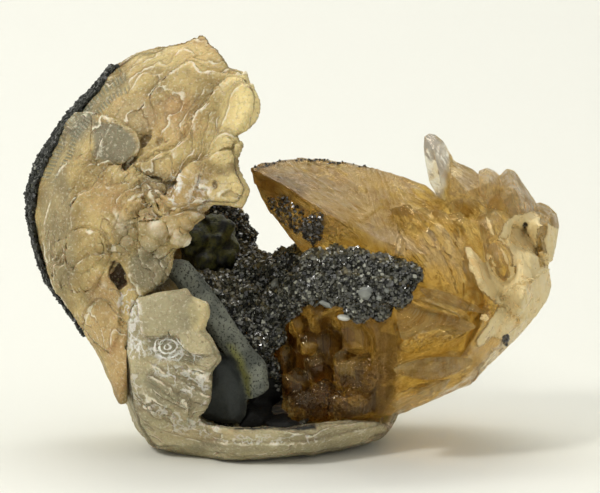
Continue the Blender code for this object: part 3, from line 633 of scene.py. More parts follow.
class FacetedSkin(CarvedSkin):
    """A solid of the frame whose flat faces are kept and only divided."""

    rounds: int = 6
    worn_round: int = 3
    first_edge: float = 6.0
    wear: float = 0.3

    def meshed(self, voxel: float, soften: int) -> bpy.types.Mesh:
        """Divides the solid's faces, and those at the back half as finely.

        Args:
            voxel: Longest edge on the side that the drawing shows, in millimetres.
            soften: Rounds of smoothing after the first dividing, for edges slightly worn round.

        Returns:
            The new mesh.
        """
        bm = bmesh.new()
        bm.from_mesh(bpy.data.objects[self.node].data)
        bmesh.ops.remove_doubles(bm, verts=bm.verts, dist=1e-6)
        eye = Vector(DRAWING.eye) * MM
        for turn in range(self.rounds):
            bm.normal_update()
            limit = max(voxel * 1.5, self.first_edge / 2**turn) * MM
            long_edges = []
            for edge in bm.edges:
                shown = any(face.normal.dot(eye - edge.verts[0].co) > 0 for face in edge.link_faces)
                if edge.calc_length() > limit * (1.0 if shown else 2.0):
                    long_edges.append(edge)
            bmesh.ops.subdivide_edges(bm, edges=long_edges, cuts=1)
            bmesh.ops.triangulate(bm, faces=bm.faces[:])
            for _ in range(soften if turn == self.worn_round else 0):
                bmesh.ops.smooth_vert(
                    bm, verts=bm.verts, factor=self.wear, use_axis_x=True, use_axis_y=True, use_axis_z=True
                )
        mesh = bpy.data.meshes.new(f"{self.node}_faceted")
        bm.to_mesh(mesh)
        bm.free()
        return mesh

    def build(self, name: str, material: bpy.types.Material) -> Piece:
        """Makes the object that stands for the solid, with its facets' edges kept sharp.

        Args:
            name: Name of the piece.
            material: Its finish.

        Returns:
            The new object.
        """
        piece = super().build(name, material)
        piece.data.set_sharp_from_angle(angle=FACET_ANGLE)
        return piece


def dressed(piece: Piece, node: str) -> Piece:
    """Links a piece and puts it in a solid's place.

    Args:
        piece: The new object.
        node: The solid that it stands for, which is hidden.

    Returns:
        The same object.
    """
    bpy.context.scene.collection.objects.link(piece)
    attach(piece, BODY)
    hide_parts(node)
    log.info("%s: %d faces for %s", piece.name, len(piece.data.polygons), node)
    return piece


def skin_patch(
    name: str, skin: CarvedSkin, shown: np.ndarray, depth: float, proud: float, material: bpy.types.Material
) -> Piece:
    """A closed thin layer over the marked faces of a skin.

    Args:
        name: Name of the piece.
        skin: The skin that it lies on.
        shown: True for each point of the skin that the layer covers.
        depth: How far the layer reaches into the body, in millimetres.
        proud: How far it stands out of the skin.
        material: Its finish.

    Returns:
        The piece.
    """
    loops = [tuple(face.vertices) for face in skin.mesh.polygons if all(shown[n] for n in face.vertices)]
    used = sorted({n for loop in loops for n in loop})
    place = {n: k for k, n in enumerate(used)}
    count = len(used)
    outer = skin.points[used] + skin.normals[used] * proud
    inner = skin.points[used] - skin.normals[used] * depth
    top = [tuple(place[n] for n in loop) for loop in loops]
    border = {}
    for a, b in itertools.chain.from_iterable(zip(loop, loop[1:] + loop[:1]) for loop in top):
        if (b, a) in border:
            del border[b, a]
        else:
            border[a, b] = True
    faces = top + [tuple(count + n for n in reversed(loop)) for loop in top]
    faces += [(b, a, count + a, count + b) for a, b in border]
    mesh = bpy.data.meshes.new(name)
    mesh.from_pydata((np.vstack([outer, inner]) * MM).tolist(), [], faces)
    for mark, values in skin.marks.items():
        write_mark(mesh, mark, np.tile(values[used], 2))
    mesh.shade_smooth()
    mesh.set_sharp_from_angle(angle=FACET_ANGLE)
    mesh.materials.append(material)
    return dressed(bpy.data.objects.new(name, mesh), skin.node)


class NodeBoard:
    """The node tree of a material or of a group, with short ways to fill it."""

    def __init__(self, tree: bpy.types.NodeTree) -> None:
        """Keeps the tree that the nodes go into."""
        self.tree = tree

    def feed(self, socket: Socket, value: object) -> None:
        """Links or sets a socket.

        Args:
            socket: The input to feed.
            value: Another node's output, or a plain number or colour.
        """
        if isinstance(value, Socket):
            self.tree.links.new(value, socket)
        elif isinstance(value, tuple) and len(value) == 3 and socket.type == "RGBA":
            socket.default_value = (*value, 1.0)
        else:
            socket.default_value = value

    def add(self, kind: str, settings: dict[str, object] | None = None, **inputs: object) -> bpy.types.Node:
        """Adds a node.

        Args:
            kind: Blender's name of the node's type, without the word ShaderNode.
            settings: Values of the node's own properties.
            inputs: What feeds each input, with spaces in its name written as underscores.

        Returns:
            The new node.
        """
        node = self.tree.nodes.new(f"ShaderNode{kind}")
        for key, value in (settings or {}).items():
            setattr(node, key, value)
        for key, value in inputs.items():
            self.feed(node.inputs[key.replace("_", " ")], value)
        return node

    def group(self, tree: bpy.types.NodeTree, **inputs: object) -> bpy.types.Node:
        """Places a shared effect, with what feeds each of its inputs."""
        return self.add("Group", {"node_tree": tree}, **inputs)

    def math(self, operation: str, *values: object) -> Socket:
        """The result of a calculation.

        Args:
            operation: Blender's name of the calculation.
            values: One to three numbers or outputs.

        Returns:
            The result's output.
        """
        node = self.add("Math", {"operation": operation})
        for socket, value in zip(node.inputs, values):
            self.feed(socket, value)
        return node.outputs[0]

    def times(self, first: object, second: object) -> Socket:
        """The product of two values."""
        return self.math("MULTIPLY", first, second)

    def plus(self, first: object, second: object) -> Socket:
        """The sum of two values."""
        return self.math("ADD", first, second)

    def minus(self, first: object, second: object) -> Socket:
        """The first value less the second."""
        return self.math("SUBTRACT", first, second)

    def rest(self, share: object) -> Socket:
        """What is left of 1 after a share."""
        return self.math("SUBTRACT", 1.0, share)

    def times_plus(self, first: object, second: object, added: object) -> Socket:
        """The product of two values, with a third added."""
        return self.math("MULTIPLY_ADD", first, second, added)

    def vector(self, operation: str, *values: object) -> Socket:
        """The result of a calculation with vectors.

        Args:
            operation: Blender's name of the calculation.
            values: The vectors.

        Returns:
            The result's output.
        """
        node = self.add("VectorMath", {"operation": operation})
        for socket, value in zip(node.inputs, values):
            self.feed(socket, value)
        return node.outputs["Value" if operation == "DOT_PRODUCT" else "Vector"]

    def mix(self, share: object, first: object, second: object, blend: str = "MIX") -> Socket:
        """Two colours mixed by a share.

        Args:
            share: 0 for the first colour, 1 for the second.
            first: The first colour.
            second: The second colour.
            blend: How the second is laid on the first.

        Returns:
            The mixed colour's output.
        """
        node = self.add("Mix", {"data_type": "RGBA", "blend_type": blend, "clamp_factor": True})
        self.feed(node.inputs[0], share)
        self.feed(node.inputs[MIX_FIRST], first)
        self.feed(node.inputs[MIX_SECOND], second)
        return node.outputs[MIX_RESULT]

    def mark(self, mark: Mark) -> Socket:
        """The value that the mesh keeps under a mark."""
        return self.add("Attribute", {"attribute_name": mark.value}).outputs["Fac"]

    def place(self) -> Socket:
        """Coordinates on the object, in metres."""
        return self.add("TexCoord").outputs["Object"]

    def ramp(self, value: object, low: float, high: float) -> Socket:
        """A value spread softly from 0 to 1.

        Args:
            value: The value.
            low: Where 0 is reached.
            high: Where 1 is reached.

        Returns:
            The spread value's output.
        """
        node = self.add("MapRange", {"interpolation_type": "SMOOTHSTEP"}, Value=value)
        node.inputs["From Min"].default_value = low
        node.inputs["From Max"].default_value = high
        return node.outputs[0]

    def noise(self, size: float, detail: float = 4.0, stretch: Triple = (1, 1, 1)) -> Socket:
        """Noise whose patches are about size millimetres wide.

        Args:
            size: Width of a patch.
            detail: How many finer layers it has.
            stretch: How much finer the noise is along each axis.

        Returns:
            The noise value's output, from 0 to 1.
        """
        place = self.vector("MULTIPLY", self.place(), stretch)
        return self.add("TexNoise", Vector=place, Scale=1 / (size * MM), Detail=detail).outputs[0]

    def flecks(self, size: float, detail: float, low: float, high: float) -> Socket:
        """Noise of which only the part above low shows, in full from high."""
        return self.ramp(self.noise(size, detail), low, high)


class SharedEffects:
    """Node groups for effects that several finishes use, each built once."""

    def __init__(self) -> None:
        """Builds the groups."""
        self.lit_crests_shaded_hollows = self.build_lit_crests_shaded_hollows()
        self.sheet_edges = self.build_sheet_edges()
        self.growth_lines = self.build_growth_lines()
        self.fine_grain = self.build_fine_grain()
        self.crystal_streaks = self.build_crystal_streaks()
        self.inner_planes = self.build_inner_planes()
        self.small_facets = self.build_small_facets()

    @staticmethod
    def start(name: str, inputs: dict[str, str], outputs: dict[str, str]) -> tuple[NodeBoard, dict, dict]:
        """A new group with its sockets.

        Args:
            name: Name of the group.
            inputs: Socket type of each named input.
            outputs: Socket type of each named output.

        Returns:
            The group's board, its inputs as they arrive inside, and its outputs to be fed.
        """
        tree = bpy.data.node_groups.new(name, "ShaderNodeTree")
        for key, kind in inputs.items():
            tree.interface.new_socket(key, in_out="INPUT", socket_type=f"NodeSocket{kind}")
        for key, kind in outputs.items():
            tree.interface.new_socket(key, in_out="OUTPUT", socket_type=f"NodeSocket{kind}")
        arrive = tree.nodes.new("NodeGroupInput").outputs
        leave = tree.nodes.new("NodeGroupOutput").inputs
        return NodeBoard(tree), arrive, leave

    def build_lit_crests_shaded_hollows(self) -> bpy.types.NodeTree:
        """Painted highlight on crests and painted shade in hollows, over a colour.

        Returns:
            The group.
        """
        board, arrive, leave = self.start(
            "lit crests and shaded hollows",
            {
                "Color": "Color", "Edge Color": "Color", "Hollow Color": "Color",
                "Crest": "Float", "Hollow": "Float",
            },
            {"Color": "Color"},
        )
        stained = board.mix(board.ramp(arrive["Hollow"], 0.1, 1.0), arrive["Color"], arrive["Hollow Color"])
        whitened = board.mix(board.ramp(arrive["Crest"], 0.15, 0.9), stained, arrive["Edge Color"])
        board.feed(leave["Color"], whitened)
        return board.tree

    def build_sheet_edges(self) -> bpy.types.NodeTree:
        """A thin painted highlight on the rim and a thin painted shadow at the foot where the distance from
        an edge passes zero.

        Returns:
            The group.
        """
        board, arrive, leave = self.start(
            "sheet edges",
            {"Edge": "Float", "Fray": "Float"},
            {"Rim Highlight": "Float", "Foot Shadow": "Float", "Step": "Float"},
        )
        fray = board.times(board.minus(board.noise(0.9, 4.0), 0.5), arrive["Fray"])
        edge = board.plus(arrive["Edge"], fray)
        kept = board.flecks(3.0, 5.0, 0.36, 0.60)
        # Painted highlight along the raised side of each edge, broken into stretches.
        near_rim_highlight = board.times(board.ramp(edge, -0.06, 0.08), kept)
        rim = board.times(near_rim_highlight, board.rest(board.ramp(edge, 0.08, 0.7)))
        # Painted shadow just below each edge.
        near_foot_shadow = board.rest(board.ramp(edge, -0.1, 0.02))
        foot = board.times(board.ramp(edge, -0.85, -0.12), near_foot_shadow)
        board.feed(leave["Rim Highlight"], rim)
        board.feed(leave["Foot Shadow"], foot)
        board.feed(leave["Step"], board.ramp(edge, -0.12, 0.12))
        return board.tree

    def build_growth_lines(self) -> bpy.types.NodeTree:
        """Fine steps that follow the growth value, wandering a little.

        Returns:
            The group.
        """
        board, arrive, leave = self.start(
            "growth lines",
            {"Growth": "Float", "Spacing": "Float", "Wander": "Float"},
            {"Step": "Float", "Line": "Float"},
        )
        wander = board.times(board.minus(board.noise(3.5, 3.0), 0.5), arrive["Wander"])
        phase = board.math("DIVIDE", board.plus(arrive["Growth"], wander), arrive["Spacing"])
        step = board.math("FRACT", phase)
        board.feed(leave["Step"], board.rest(step))
        kept = board.flecks(4.0, 3.0, 0.42, 0.62)
        board.feed(leave["Line"], board.times(board.ramp(step, 0.72, 0.98), kept))
        return board.tree

    def build_fine_grain(self) -> bpy.types.NodeTree:
        """A fine grain of two sizes, as a height and as a mottle of the colour.

        Returns:
            The group.
        """
        board, arrive, leave = self.start(
            "fine grain",
            {"Scale": "Float", "Contrast": "Float"},
            {"Height": "Float", "Mottle": "Float"},
        )
        place = board.place()
        coarse = board.add("TexNoise", Vector=place, Scale=arrive["Scale"], Detail=6.0).outputs[0]
        fine = board.add("TexVoronoi", Vector=place, Scale=board.times(arrive["Scale"], 3.0)).outputs[0]
        board.feed(leave["Height"], board.plus(coarse, board.times(fine, 0.5)))
        spread = board.times(board.minus(coarse, 0.5), arrive["Contrast"])
        board.feed(leave["Mottle"], board.plus(spread, 0.5))
        return board.tree

    def build_crystal_streaks(self) -> bpy.types.NodeTree:
        """Uneven streaks that follow the growth value: broad ones for colour, fine ones for relief.

        Returns:
            The group.
        """
        board, arrive, leave = self.start(
            "crystal streaks",
            {"Growth": "Float", "Spacing": "Float", "Wander": "Float"},
            {"Broad": "Float", "Fine": "Float"},
        )
        wander = board.times(board.minus(board.noise(6.0, 4.0), 0.5), arrive["Wander"])
        phase = board.math("DIVIDE", board.plus(arrive["Growth"], wander), arrive["Spacing"])
        slow = board.times(phase, 0.4)
        broad = board.add("TexNoise", {"noise_dimensions": "1D"}, W=slow, Scale=1.0, Detail=3.0).outputs[0]
        fine = board.add("TexNoise", {"noise_dimensions": "1D"}, W=phase, Scale=1.7, Detail=3.0).outputs[0]
        broken = board.flecks(3.2, 4.0, 0.3, 0.6)
        board.feed(leave["Broad"], board.times(board.ramp(broad, 0.36, 0.64), broken))
        board.feed(leave["Fine"], fine)
        return board.tree

    def build_inner_planes(self) -> bpy.types.NodeTree:
        """Planes that split a crystal into cells, each of its own shade, with thin cracks between them.

        Returns:
            The group.
        """
        board, arrive, leave = self.start(
            "inner planes",
            {"Scale": "Float"},
            {"Shade": "Float", "Crack": "Float"},
        )
        flow = board.add("TexNoise", Vector=board.place(), Scale=160.0).outputs["Color"]
        drift = board.vector("MULTIPLY", flow, (2.2 * MM, 2.2 * MM, 2.2 * MM))
        bent = board.vector("ADD", board.vector("MULTIPLY", board.place(), (1.0, 0.6, 1.5)), drift)
        cells = board.add("TexVoronoi", Vector=bent, Scale=arrive["Scale"])
        gaps = board.add("TexVoronoi", {"feature": "DISTANCE_TO_EDGE"}, Vector=bent, Scale=arrive["Scale"])
        shade = board.add("SeparateColor")
        board.feed(shade.inputs[0], cells.outputs["Color"])
        board.feed(leave["Shade"], shade.outputs[0])
        near = board.rest(board.ramp(gaps.outputs["Distance"], 0.0, 0.05))
        board.feed(leave["Crack"], board.times(near, board.flecks(2.5, 3.0, 0.42, 0.6)))
        return board.tree

    def build_small_facets(self) -> bpy.types.NodeTree:
        """Small flat facets, each tilted its own way and drawn out along a slope, as a height.

        Returns:
            The group.
        """
        board, arrive, leave = self.start(
            "small facets",
            {"Scale": "Float", "Slope": "Float"},
            {"Tilt": "Float"},
        )
        turned = board.add("VectorRotate", {"rotation_type": "Y_AXIS"}, Vector=board.place())
        board.feed(turned.inputs["Angle"], arrive["Slope"])
        drawn = board.vector("MULTIPLY", turned.outputs[0], (0.35, 1.0, 1.0))
        cells = board.add("TexVoronoi", Vector=drawn, Scale=arrive["Scale"])
        across = board.vector("SUBTRACT", drawn, cells.outputs["Position"])
        lean = board.vector("SUBTRACT", cells.outputs["Color"], (0.5, 0.5, 0.5))
        board.feed(leave["Tilt"], board.math("DIVIDE", board.vector("DOT_PRODUCT", across, lean), MM))
        return board.tree


def new_material(name: str, **principled: object) -> tuple[bpy.types.Material, NodeBoard, bpy.types.Node]:
    """A material with one Principled shader.

    Args:
        name: Name of the material.
        principled: Plain values of the shader's inputs, with spaces written as underscores.

    Returns:
        The material, its board and the shader.
    """
    material = bpy.data.materials.new(name)
    material.use_nodes = True
    board = NodeBoard(material.node_tree)
    shader = material.node_tree.nodes["Principled BSDF"]
    for key, value in principled.items():
        board.feed(shader.inputs[key.replace("_", " ")], value)
    return material, board, shader


def bump(board: NodeBoard, shader: bpy.types.Node, height: object, depth: float) -> None:
    """Feeds a shader's normal from a height.

    Args:
        board: The material's board.
        shader: The shader.
        height: Output that gives the height.
        depth: Depth of the relief from 0 to 1, in millimetres.
    """
    node = board.add("Bump", Height=height, Distance=depth * MM)
    board.feed(shader.inputs["Normal"], node.outputs[0])


@dataclass(frozen=True)
class ShellFinish:
    """Cream fossil shell in sheets, with painted highlights on rims and crests, painted shade in hollows
    and sunk holes, stains and chalk.
    """

    name: str
    base: Colour
    deep: Colour
    # edge: pale colour of the freckles, and painted highlight on crests and sheet rims.
    edge: Colour = (0.82, 0.75, 0.58)
    # stain: colour of stains, growth lines, sand and spots, and painted shade in hollows, at sheet feet and
    # in sunk holes.
    stain: Colour = (0.15, 0.095, 0.045)
    peach: Colour = (0.49, 0.31, 0.125)
    grey: Colour = (0.185, 0.172, 0.112)
    yellow: Colour = (0.84, 0.68, 0.31)
    chalk: Colour = (0.84, 0.83, 0.78)
    groove: Colour = (0.20, 0.20, 0.13)
    # dirt: painted shadow, the near-black flecks on the floor of the bowl.
    dirt: Colour = (0.018, 0.018, 0.015)
    rib_pitch: float = 0.8
    line_spacing: float = 0.8
    line_strength: float = 0.2

    def material(self, effects: SharedEffects) -> bpy.types.Material:
        """The finish as a material.

        Args:
            effects: The shared node groups.

        Returns:
            The material.
        """
        material, board, shader = new_material(
            self.name, IOR=1.5, Specular_IOR_Level=0.4, Subsurface_Weight=0.15, Subsurface_Scale=0.001
        )
        lines = board.group(
            effects.growth_lines, Growth=board.mark(Mark.GROWTH), Spacing=self.line_spacing, Wander=1.6
        )
        sheets = board.group(effects.sheet_edges, Edge=board.mark(Mark.EDGE), Fray=0.7)
        grain = board.group(effects.fine_grain, Scale=900.0, Contrast=1.6)
        cloud = board.flecks(7.0, 6.0, 0.36, 0.66)
        colour = board.mix(cloud, self.base, self.deep)
        tints = (self.peach, self.yellow, self.grey, self.stain)
        # Tints under the marks; the dark mark's stain tint is painted shade in sunk holes.
        for mark, tint in zip((Mark.PEACH, Mark.YELLOW, Mark.GREY_AND_SHADOW, Mark.DARK_TONE_AND_SHADE), tints):
            colour = board.mix(board.times(board.mark(mark), 0.85), colour, tint)
        colour = board.mix(board.times(lines.outputs["Line"], self.line_strength), colour, self.stain)
        turn = board.times(board.mark(Mark.ALONG), 2 * math.pi / self.rib_pitch)
        wobble = board.times(board.noise(2.0, 3.0), 5.0)
        wave = board.math("SINE", board.plus(turn, wobble))
        rib = board.times(board.ramp(wave, -0.6, 0.8), board.mark(Mark.RIBBED))
        groove = board.minus(board.mark(Mark.RIBBED), rib)
        colour = board.mix(board.times(groove, 0.7), colour, self.groove)
        freckle = board.flecks(0.5, 3.0, 0.54, 0.68)
        colour = board.mix(board.times(freckle, 0.34), colour, self.edge)
        sand = board.flecks(0.62, 3.0, 0.55, 0.68)
        colour = board.mix(board.times(sand, 0.24), colour, self.stain)
        spots = board.times(board.flecks(0.8, 2.0, 0.68, 0.74), 0.5)
        colour = board.mix(spots, colour, self.stain)
        # The painted highlight on sheet rims joins the crest mark, the painted shadow at their feet joins
        # the hollow mark.
        crest = board.math("MAXIMUM", board.mark(Mark.CREST), board.times(sheets.outputs["Rim Highlight"], 0.75))
        hollow = board.math("MAXIMUM", board.mark(Mark.SHADED_HOLLOW), board.times(sheets.outputs["Foot Shadow"], 0.5))
        # Lightens crests as painted highlight, and darkens hollows in the stain colour as painted shade.
        colour = board.group(
            effects.lit_crests_shaded_hollows, Color=colour, Edge_Color=self.edge, Hollow_Color=self.stain, Crest=crest,
            Hollow=hollow,
        ).outputs["Color"]
        vein = board.math("ABSOLUTE", board.minus(board.noise(2.4, 7.0), 0.5))
        vein = board.rest(board.ramp(vein, 0.012, 0.05))
        powder = board.ramp(board.plus(board.mark(Mark.CHALK), board.noise(1.3, 7.0)), 1.15, 1.4)
        patchy = board.math("MAXIMUM", board.times(board.mark(Mark.CHALK), vein), powder)
        patchy = board.times(patchy, board.ramp(board.mark(Mark.CHALK), 0.05, 0.4))
        colour = board.mix(patchy, colour, self.chalk)
        # Painted shadow: near-black flecks on the floor of the bowl.
        black = board.times(board.mark(Mark.DIRT_AND_SHADOW), board.flecks(0.9, 6.0, 0.28, 0.42))
        colour = board.mix(black, colour, self.dirt)
        board.feed(shader.inputs["Base Color"], colour)
        rough = board.times_plus(grain.outputs["Mottle"], 0.35, 0.36)
        board.feed(shader.inputs["Roughness"], rough)
        height = board.times_plus(lines.outputs["Step"], 0.6, grain.outputs["Height"])
        height = board.times_plus(sheets.outputs["Step"], 1.2, height)
        height = board.times_plus(rib, 1.1, height)
        height = board.times_plus(board.noise(0.6, 4.0), 1.3, height)
        bump(board, shader, height, 0.17)
        return material


@dataclass(frozen=True)
class StoneFinish:
    """Dull stone or mud of two tones, with a third where the stain mark is."""

    name: str
    light: Colour
    dark: Colour
    stain: Colour
    patch_size: float
    grain_scale: float
    roughness: float = 0.6
    # Colour under the grey mark: painted shadow on the bowl's floor, and the lining plate's own dark tone.
    dark_tone_and_shadow: Colour = (0.008, 0.008, 0.007)
    speck: Colour = (0.02, 0.022, 0.02)

    def material(self, effects: SharedEffects) -> bpy.types.Material:
        """The finish as a material.

        Args:
            effects: The shared node groups.

        Returns:
            The material.
        """
        material, board, shader = new_material(self.name, IOR=1.5, Specular_IOR_Level=0.35)
        grain = board.group(effects.fine_grain, Scale=self.grain_scale, Contrast=2.0)
        cloud = board.flecks(self.patch_size, 5.0, 0.38, 0.62)
        colour = board.mix(cloud, self.dark, self.light)
        colour = board.mix(board.mark(Mark.YELLOW), colour, self.stain)
        specks = board.times(board.flecks(0.42, 3.0, 0.54, 0.62), 0.8)
        colour = board.mix(specks, colour, self.speck)
        mottle = board.mix(grain.outputs["Mottle"], self.dark, self.light)
        colour = board.mix(0.5, colour, mottle, "OVERLAY")
        # Painted shadow on the bowl's floor, the lining plate's own dark tone elsewhere.
        colour = board.mix(board.mark(Mark.GREY_AND_SHADOW), colour, self.dark_tone_and_shadow)
        board.feed(shader.inputs["Base Color"], colour)
        rough = board.times_plus(grain.outputs["Mottle"], 0.3, self.roughness - 0.15)
        board.feed(shader.inputs["Roughness"], rough)
        bump(board, shader, grain.outputs["Height"], 0.2)
        return material


@dataclass(frozen=True)
class GrainFinish:
    """Small flat-faced crystals, each with its own shade."""

    name: str
    dark: Colour
    pale: Colour
    roughness: float = 0.18
    shine: float = 0.75

    def material(self) -> bpy.types.Material:
        """The finish as a material.

        Returns:
            The material.
        """
        material, board, shader = new_material(self.name, IOR=1.65, Specular_IOR_Level=self.shine)
        shade = board.mark(Mark.SHADE)
        board.feed(shader.inputs["Base Color"], board.mix(shade, self.dark, self.pale))
        rough = board.times_plus(board.noise(0.6, 3.0), 0.3, self.roughness - 0.1)
        board.feed(shader.inputs["Roughness"], rough)
        bump(board, shader, board.noise(0.25, 2.0), 0.02)
        return material


@dataclass(frozen=True)
class CalciteFinish:
    """See-through crystal with fine streaks, inner planes and marks of milk and dirt, with painted shade
    and a darker tone where the dark mark lies.
    """

    name: str
    light: Colour
    deep: Colour
    milk: Colour
    transmission: float
    absorbed: Colour = (0.9, 0.8, 0.5)
    density: float = 0.0
    roughness: float = 0.035
    streak_spacing: float = 0.9
    relief: float = 0.13
    planes: float = 0.5
    facet_scale: float = 1000.0
    lean: float = math.radians(38.0)
    shadow: Colour = (0.085, 0.042, 0.012)
    amber: Colour = (1.0, 0.72, 0.24)
    clear: Colour = (1.0, 0.99, 0.94)
    crack: Colour = (0.30, 0.16, 0.05)
    crack_share: float = 0.25
    glint: Colour = (1.0, 0.88, 0.55)
    glint_share: float = 0.9
    dirt: Colour = (0.05, 0.036, 0.02)

    def material(self, effects: SharedEffects) -> bpy.types.Material:
        """The finish as a material.

        Args:
            effects: The shared node groups.

        Returns:
            The material.
        """
        material, board, shader = new_material(
            self.name, IOR=1.5, Transmission_Weight=self.transmission, Metallic=0.0, Specular_IOR_Level=0.3,
            Specular_Tint=(1.0, 0.86, 0.62),
        )
        streaks = board.group(
            effects.crystal_streaks, Growth=board.mark(Mark.GROWTH), Spacing=self.streak_spacing, Wander=2.4
        )
        planes = board.group(effects.inner_planes, Scale=300.0)
        shade = planes.outputs["Shade"]
        colour = board.mix(streaks.outputs["Broad"], self.light, self.deep)
        colour = board.mix(board.times(shade, self.planes), colour, self.deep)
        colour = board.mix(board.times(planes.outputs["Crack"], self.crack_share), colour, self.crack)
        bright = board.times(board.ramp(streaks.outputs["Fine"], 0.58, 0.70), self.glint_share)
        bright = board.times(bright, board.flecks(1.3, 4.0, 0.46, 0.56))
        colour = board.mix(bright, colour, self.glint)
        dim = board.times(board.ramp(streaks.outputs["Fine"], 0.46, 0.32), 0.6)
        dim = board.times(dim, board.flecks(1.7, 3.0, 0.42, 0.56))
        colour = board.mix(dim, colour, self.deep)
        colour = board.mix(board.mark(Mark.CLEAR), colour, self.clear)
        colour = board.mix(board.times(board.mark(Mark.YELLOW), 0.8), colour, self.amber)
        # The dark mark paints shade into the pocket and deepens the tone of the spear.
        veiled = board.times_plus(board.ramp(shade, 0.98, 0.6), 0.35, 0.65)
        colour = board.mix(board.times(board.mark(Mark.DARK_TONE_AND_SHADE), veiled), colour, self.shadow)
        slow = board.math("DIVIDE", board.mark(Mark.GROWTH), 1.5)
        drift = board.times_plus(board.noise(5.0, 3.0), 0.9, slow)
        near = board.math("ABSOLUTE", board.minus(board.math("FRACT", drift), 0.5))
        thin = board.times(board.ramp(near, 0.07, 0.02), board.flecks(3.2, 2.0, 0.5, 0.56))
        colour = board.mix(board.times(thin, board.mark(Mark.DARK_TONE_AND_SHADE)), colour, self.dirt)
        milky = board.times(board.mark(Mark.MILK), board.flecks(3.0, 6.0, 0.22, 0.58))
        colour = board.mix(milky, colour, self.milk)
        dirty = board.times(board.mark(Mark.DIRT_AND_SHADOW), board.flecks(0.9, 7.0, 0.42, 0.54))
        colour = board.mix(dirty, colour, self.dirt)
        board.feed(shader.inputs["Base Color"], colour)
        rough = board.times_plus(milky, 0.25, self.roughness)
        rough = board.times_plus(board.flecks(1.6, 5.0, 0.5, 0.7), 0.06, rough)
        board.feed(shader.inputs["Roughness"], board.times_plus(dirty, 0.5, rough))
        height = board.times_plus(board.noise(0.9, 5.0), 0.7, streaks.outputs["Fine"])
        height = board.times_plus(shade, 0.25, height)
        facets = board.group(effects.small_facets, Scale=self.facet_scale, Slope=-self.lean)
        height = board.times_plus(facets.outputs["Tilt"], 2.6, height)
        smooth = board.math("MAXIMUM", board.times(board.mark(Mark.DARK_TONE_AND_SHADE), 0.6), board.mark(Mark.CLEAR))
        calm = board.rest(board.times(smooth, 0.8))
        bump(board, shader, board.times(height, calm), self.relief)
        if self.density:
            inside = board.add("VolumeAbsorption")
            inside.inputs["Color"].default_value = (*self.absorbed, 1.0)
            inside.inputs["Density"].default_value = self.density
            out = material.node_tree.nodes["Material Output"]
            material.node_tree.links.new(inside.outputs[0], out.inputs["Volume"])
        return material


@dataclass
class ShellValve:
    """One valve of the shell: its growth sheets, patches and fine lines."""

    node: str
    piece: str
    finish: ShellFinish
    ledges: tuple[Ledge, ...]
    patches: tuple[Patch | Region, ...]
    knobs: tuple[Knob, ...] = ()
    ribs: tuple[Ribs, ...] = ()
    rings: tuple[Rings, ...] = ()
    voxel: float = 0.46
    soften: int = 4
    terrace: float = 2.4
    terrace_rise: float = 0.34
    crumb_rise: float = 0.26
    blend: float = 1.5
    faded: float = 3.0
    back_centre: tuple[float, float] = (-22.0, 40.0)

    def carve_ledges(self, skin: CarvedSkin) -> tuple[np.ndarray, np.ndarray]:
        """Height of all the ledges, and how far the shell had grown at each point.

        Args:
            skin: The valve's mesh, which gets the distance from its nearest ledge as a mark.

        Returns:
            The height and the growth at each point, in millimetres.
        """
        heights = np.zeros(len(skin.points))
        total = np.zeros(len(skin.points))
        shares = np.zeros(len(skin.points))
        edge = np.full(len(skin.points), self.faded)
        for ledge in self.ledges:
            signed, left = ledge.side(skin.flat)
            heights += ledge.height(signed, left)
            share = 1.0 / (signed**2 + self.blend)
            total += share * (ledge.level + signed)
            shares += share
            if ledge.rise:
                held = np.copysign(np.abs(signed) + self.faded * (1.0 - left * skin.facing), signed)
                edge = np.where(np.abs(held) < np.abs(edge), held, edge)
        skin.add_mark(Mark.EDGE, edge)
        ring = np.hypot(skin.points[:, 0] - self.back_centre[0], skin.points[:, 2] - self.back_centre[1])
        growth = skin.facing * total / shares - (1.0 - skin.facing) * ring
        return heights * skin.facing, growth

    def build(self, effects: SharedEffects, room: Room) -> Piece:
        """Carves and dresses the valve.

        Args:
            effects: The shared node groups.
            room: The box that the skin stays inside.

        Returns:
            The piece.
        """
        skin = CarvedSkin(self.node, self.voxel, self.soften)
        skin.refine_front()
        heights, growth = self.carve_ledges(skin)
        wander = 2.0 * rough_noise(skin.points, 6.0, 11, 2) + 0.9 * rough_noise(skin.points, 1.9, 13, 2)
        step = (growth + wander) / self.terrace
        step -= np.floor(step)
        strength = smooth_step(-0.5, 0.3, value_noise(skin.points, 7.0, 5))
        lumps = np.zeros(len(skin.points))
        if self.knobs:
            lumps = np.max([knob.height(skin.flat) for knob in self.knobs], axis=0) * skin.facing
            strength *= 1.0 - smooth_step(0.0, 0.3, lumps)
        heights += self.terrace_rise * (1.0 - step) * strength
        crumb = rough_noise(skin.points, 2.4, 23, 4)
        heights += self.crumb_rise * crumb
        heights += lumps
        skin.start_marks(Mark.RIBBED, Mark.ALONG)
        for ribs in self.ribs:
            ribs.lay(skin)
        step_edge = np.where(step < 0.5, step, step - 1.0) * self.terrace + 2.0 * (1.0 - strength)
        skin.marks[Mark.EDGE] = np.where(
            np.abs(step_edge) + 0.12 < np.abs(skin.marks[Mark.EDGE]), step_edge, skin.marks[Mark.EDGE]
        )
        # Painted highlight on raised crumbs and on knob tops, painted shade in low crumbs.
        skin.add_mark(Mark.CREST, 0.45 * smooth_step(0.15, 0.7, crumb) + 0.3 * smooth_step(0.6, 1.1, lumps))
        skin.add_mark(Mark.SHADED_HOLLOW, 0.32 * smooth_step(0.1, 0.7, -crumb))
        skin.add_mark(Mark.GROWTH, growth)
        skin.start_marks(Mark.PEACH, Mark.GREY_AND_SHADOW, Mark.YELLOW, Mark.CHALK, Mark.DARK_TONE_AND_SHADE, Mark.DIRT_AND_SHADOW)
        skin.lift(heights)
        skin.patch(self.patches)
        for rings in self.rings:
            rings.lay(skin)
        skin.held_inside(room)
        return skin.build(self.piece, self.finish.material(effects))


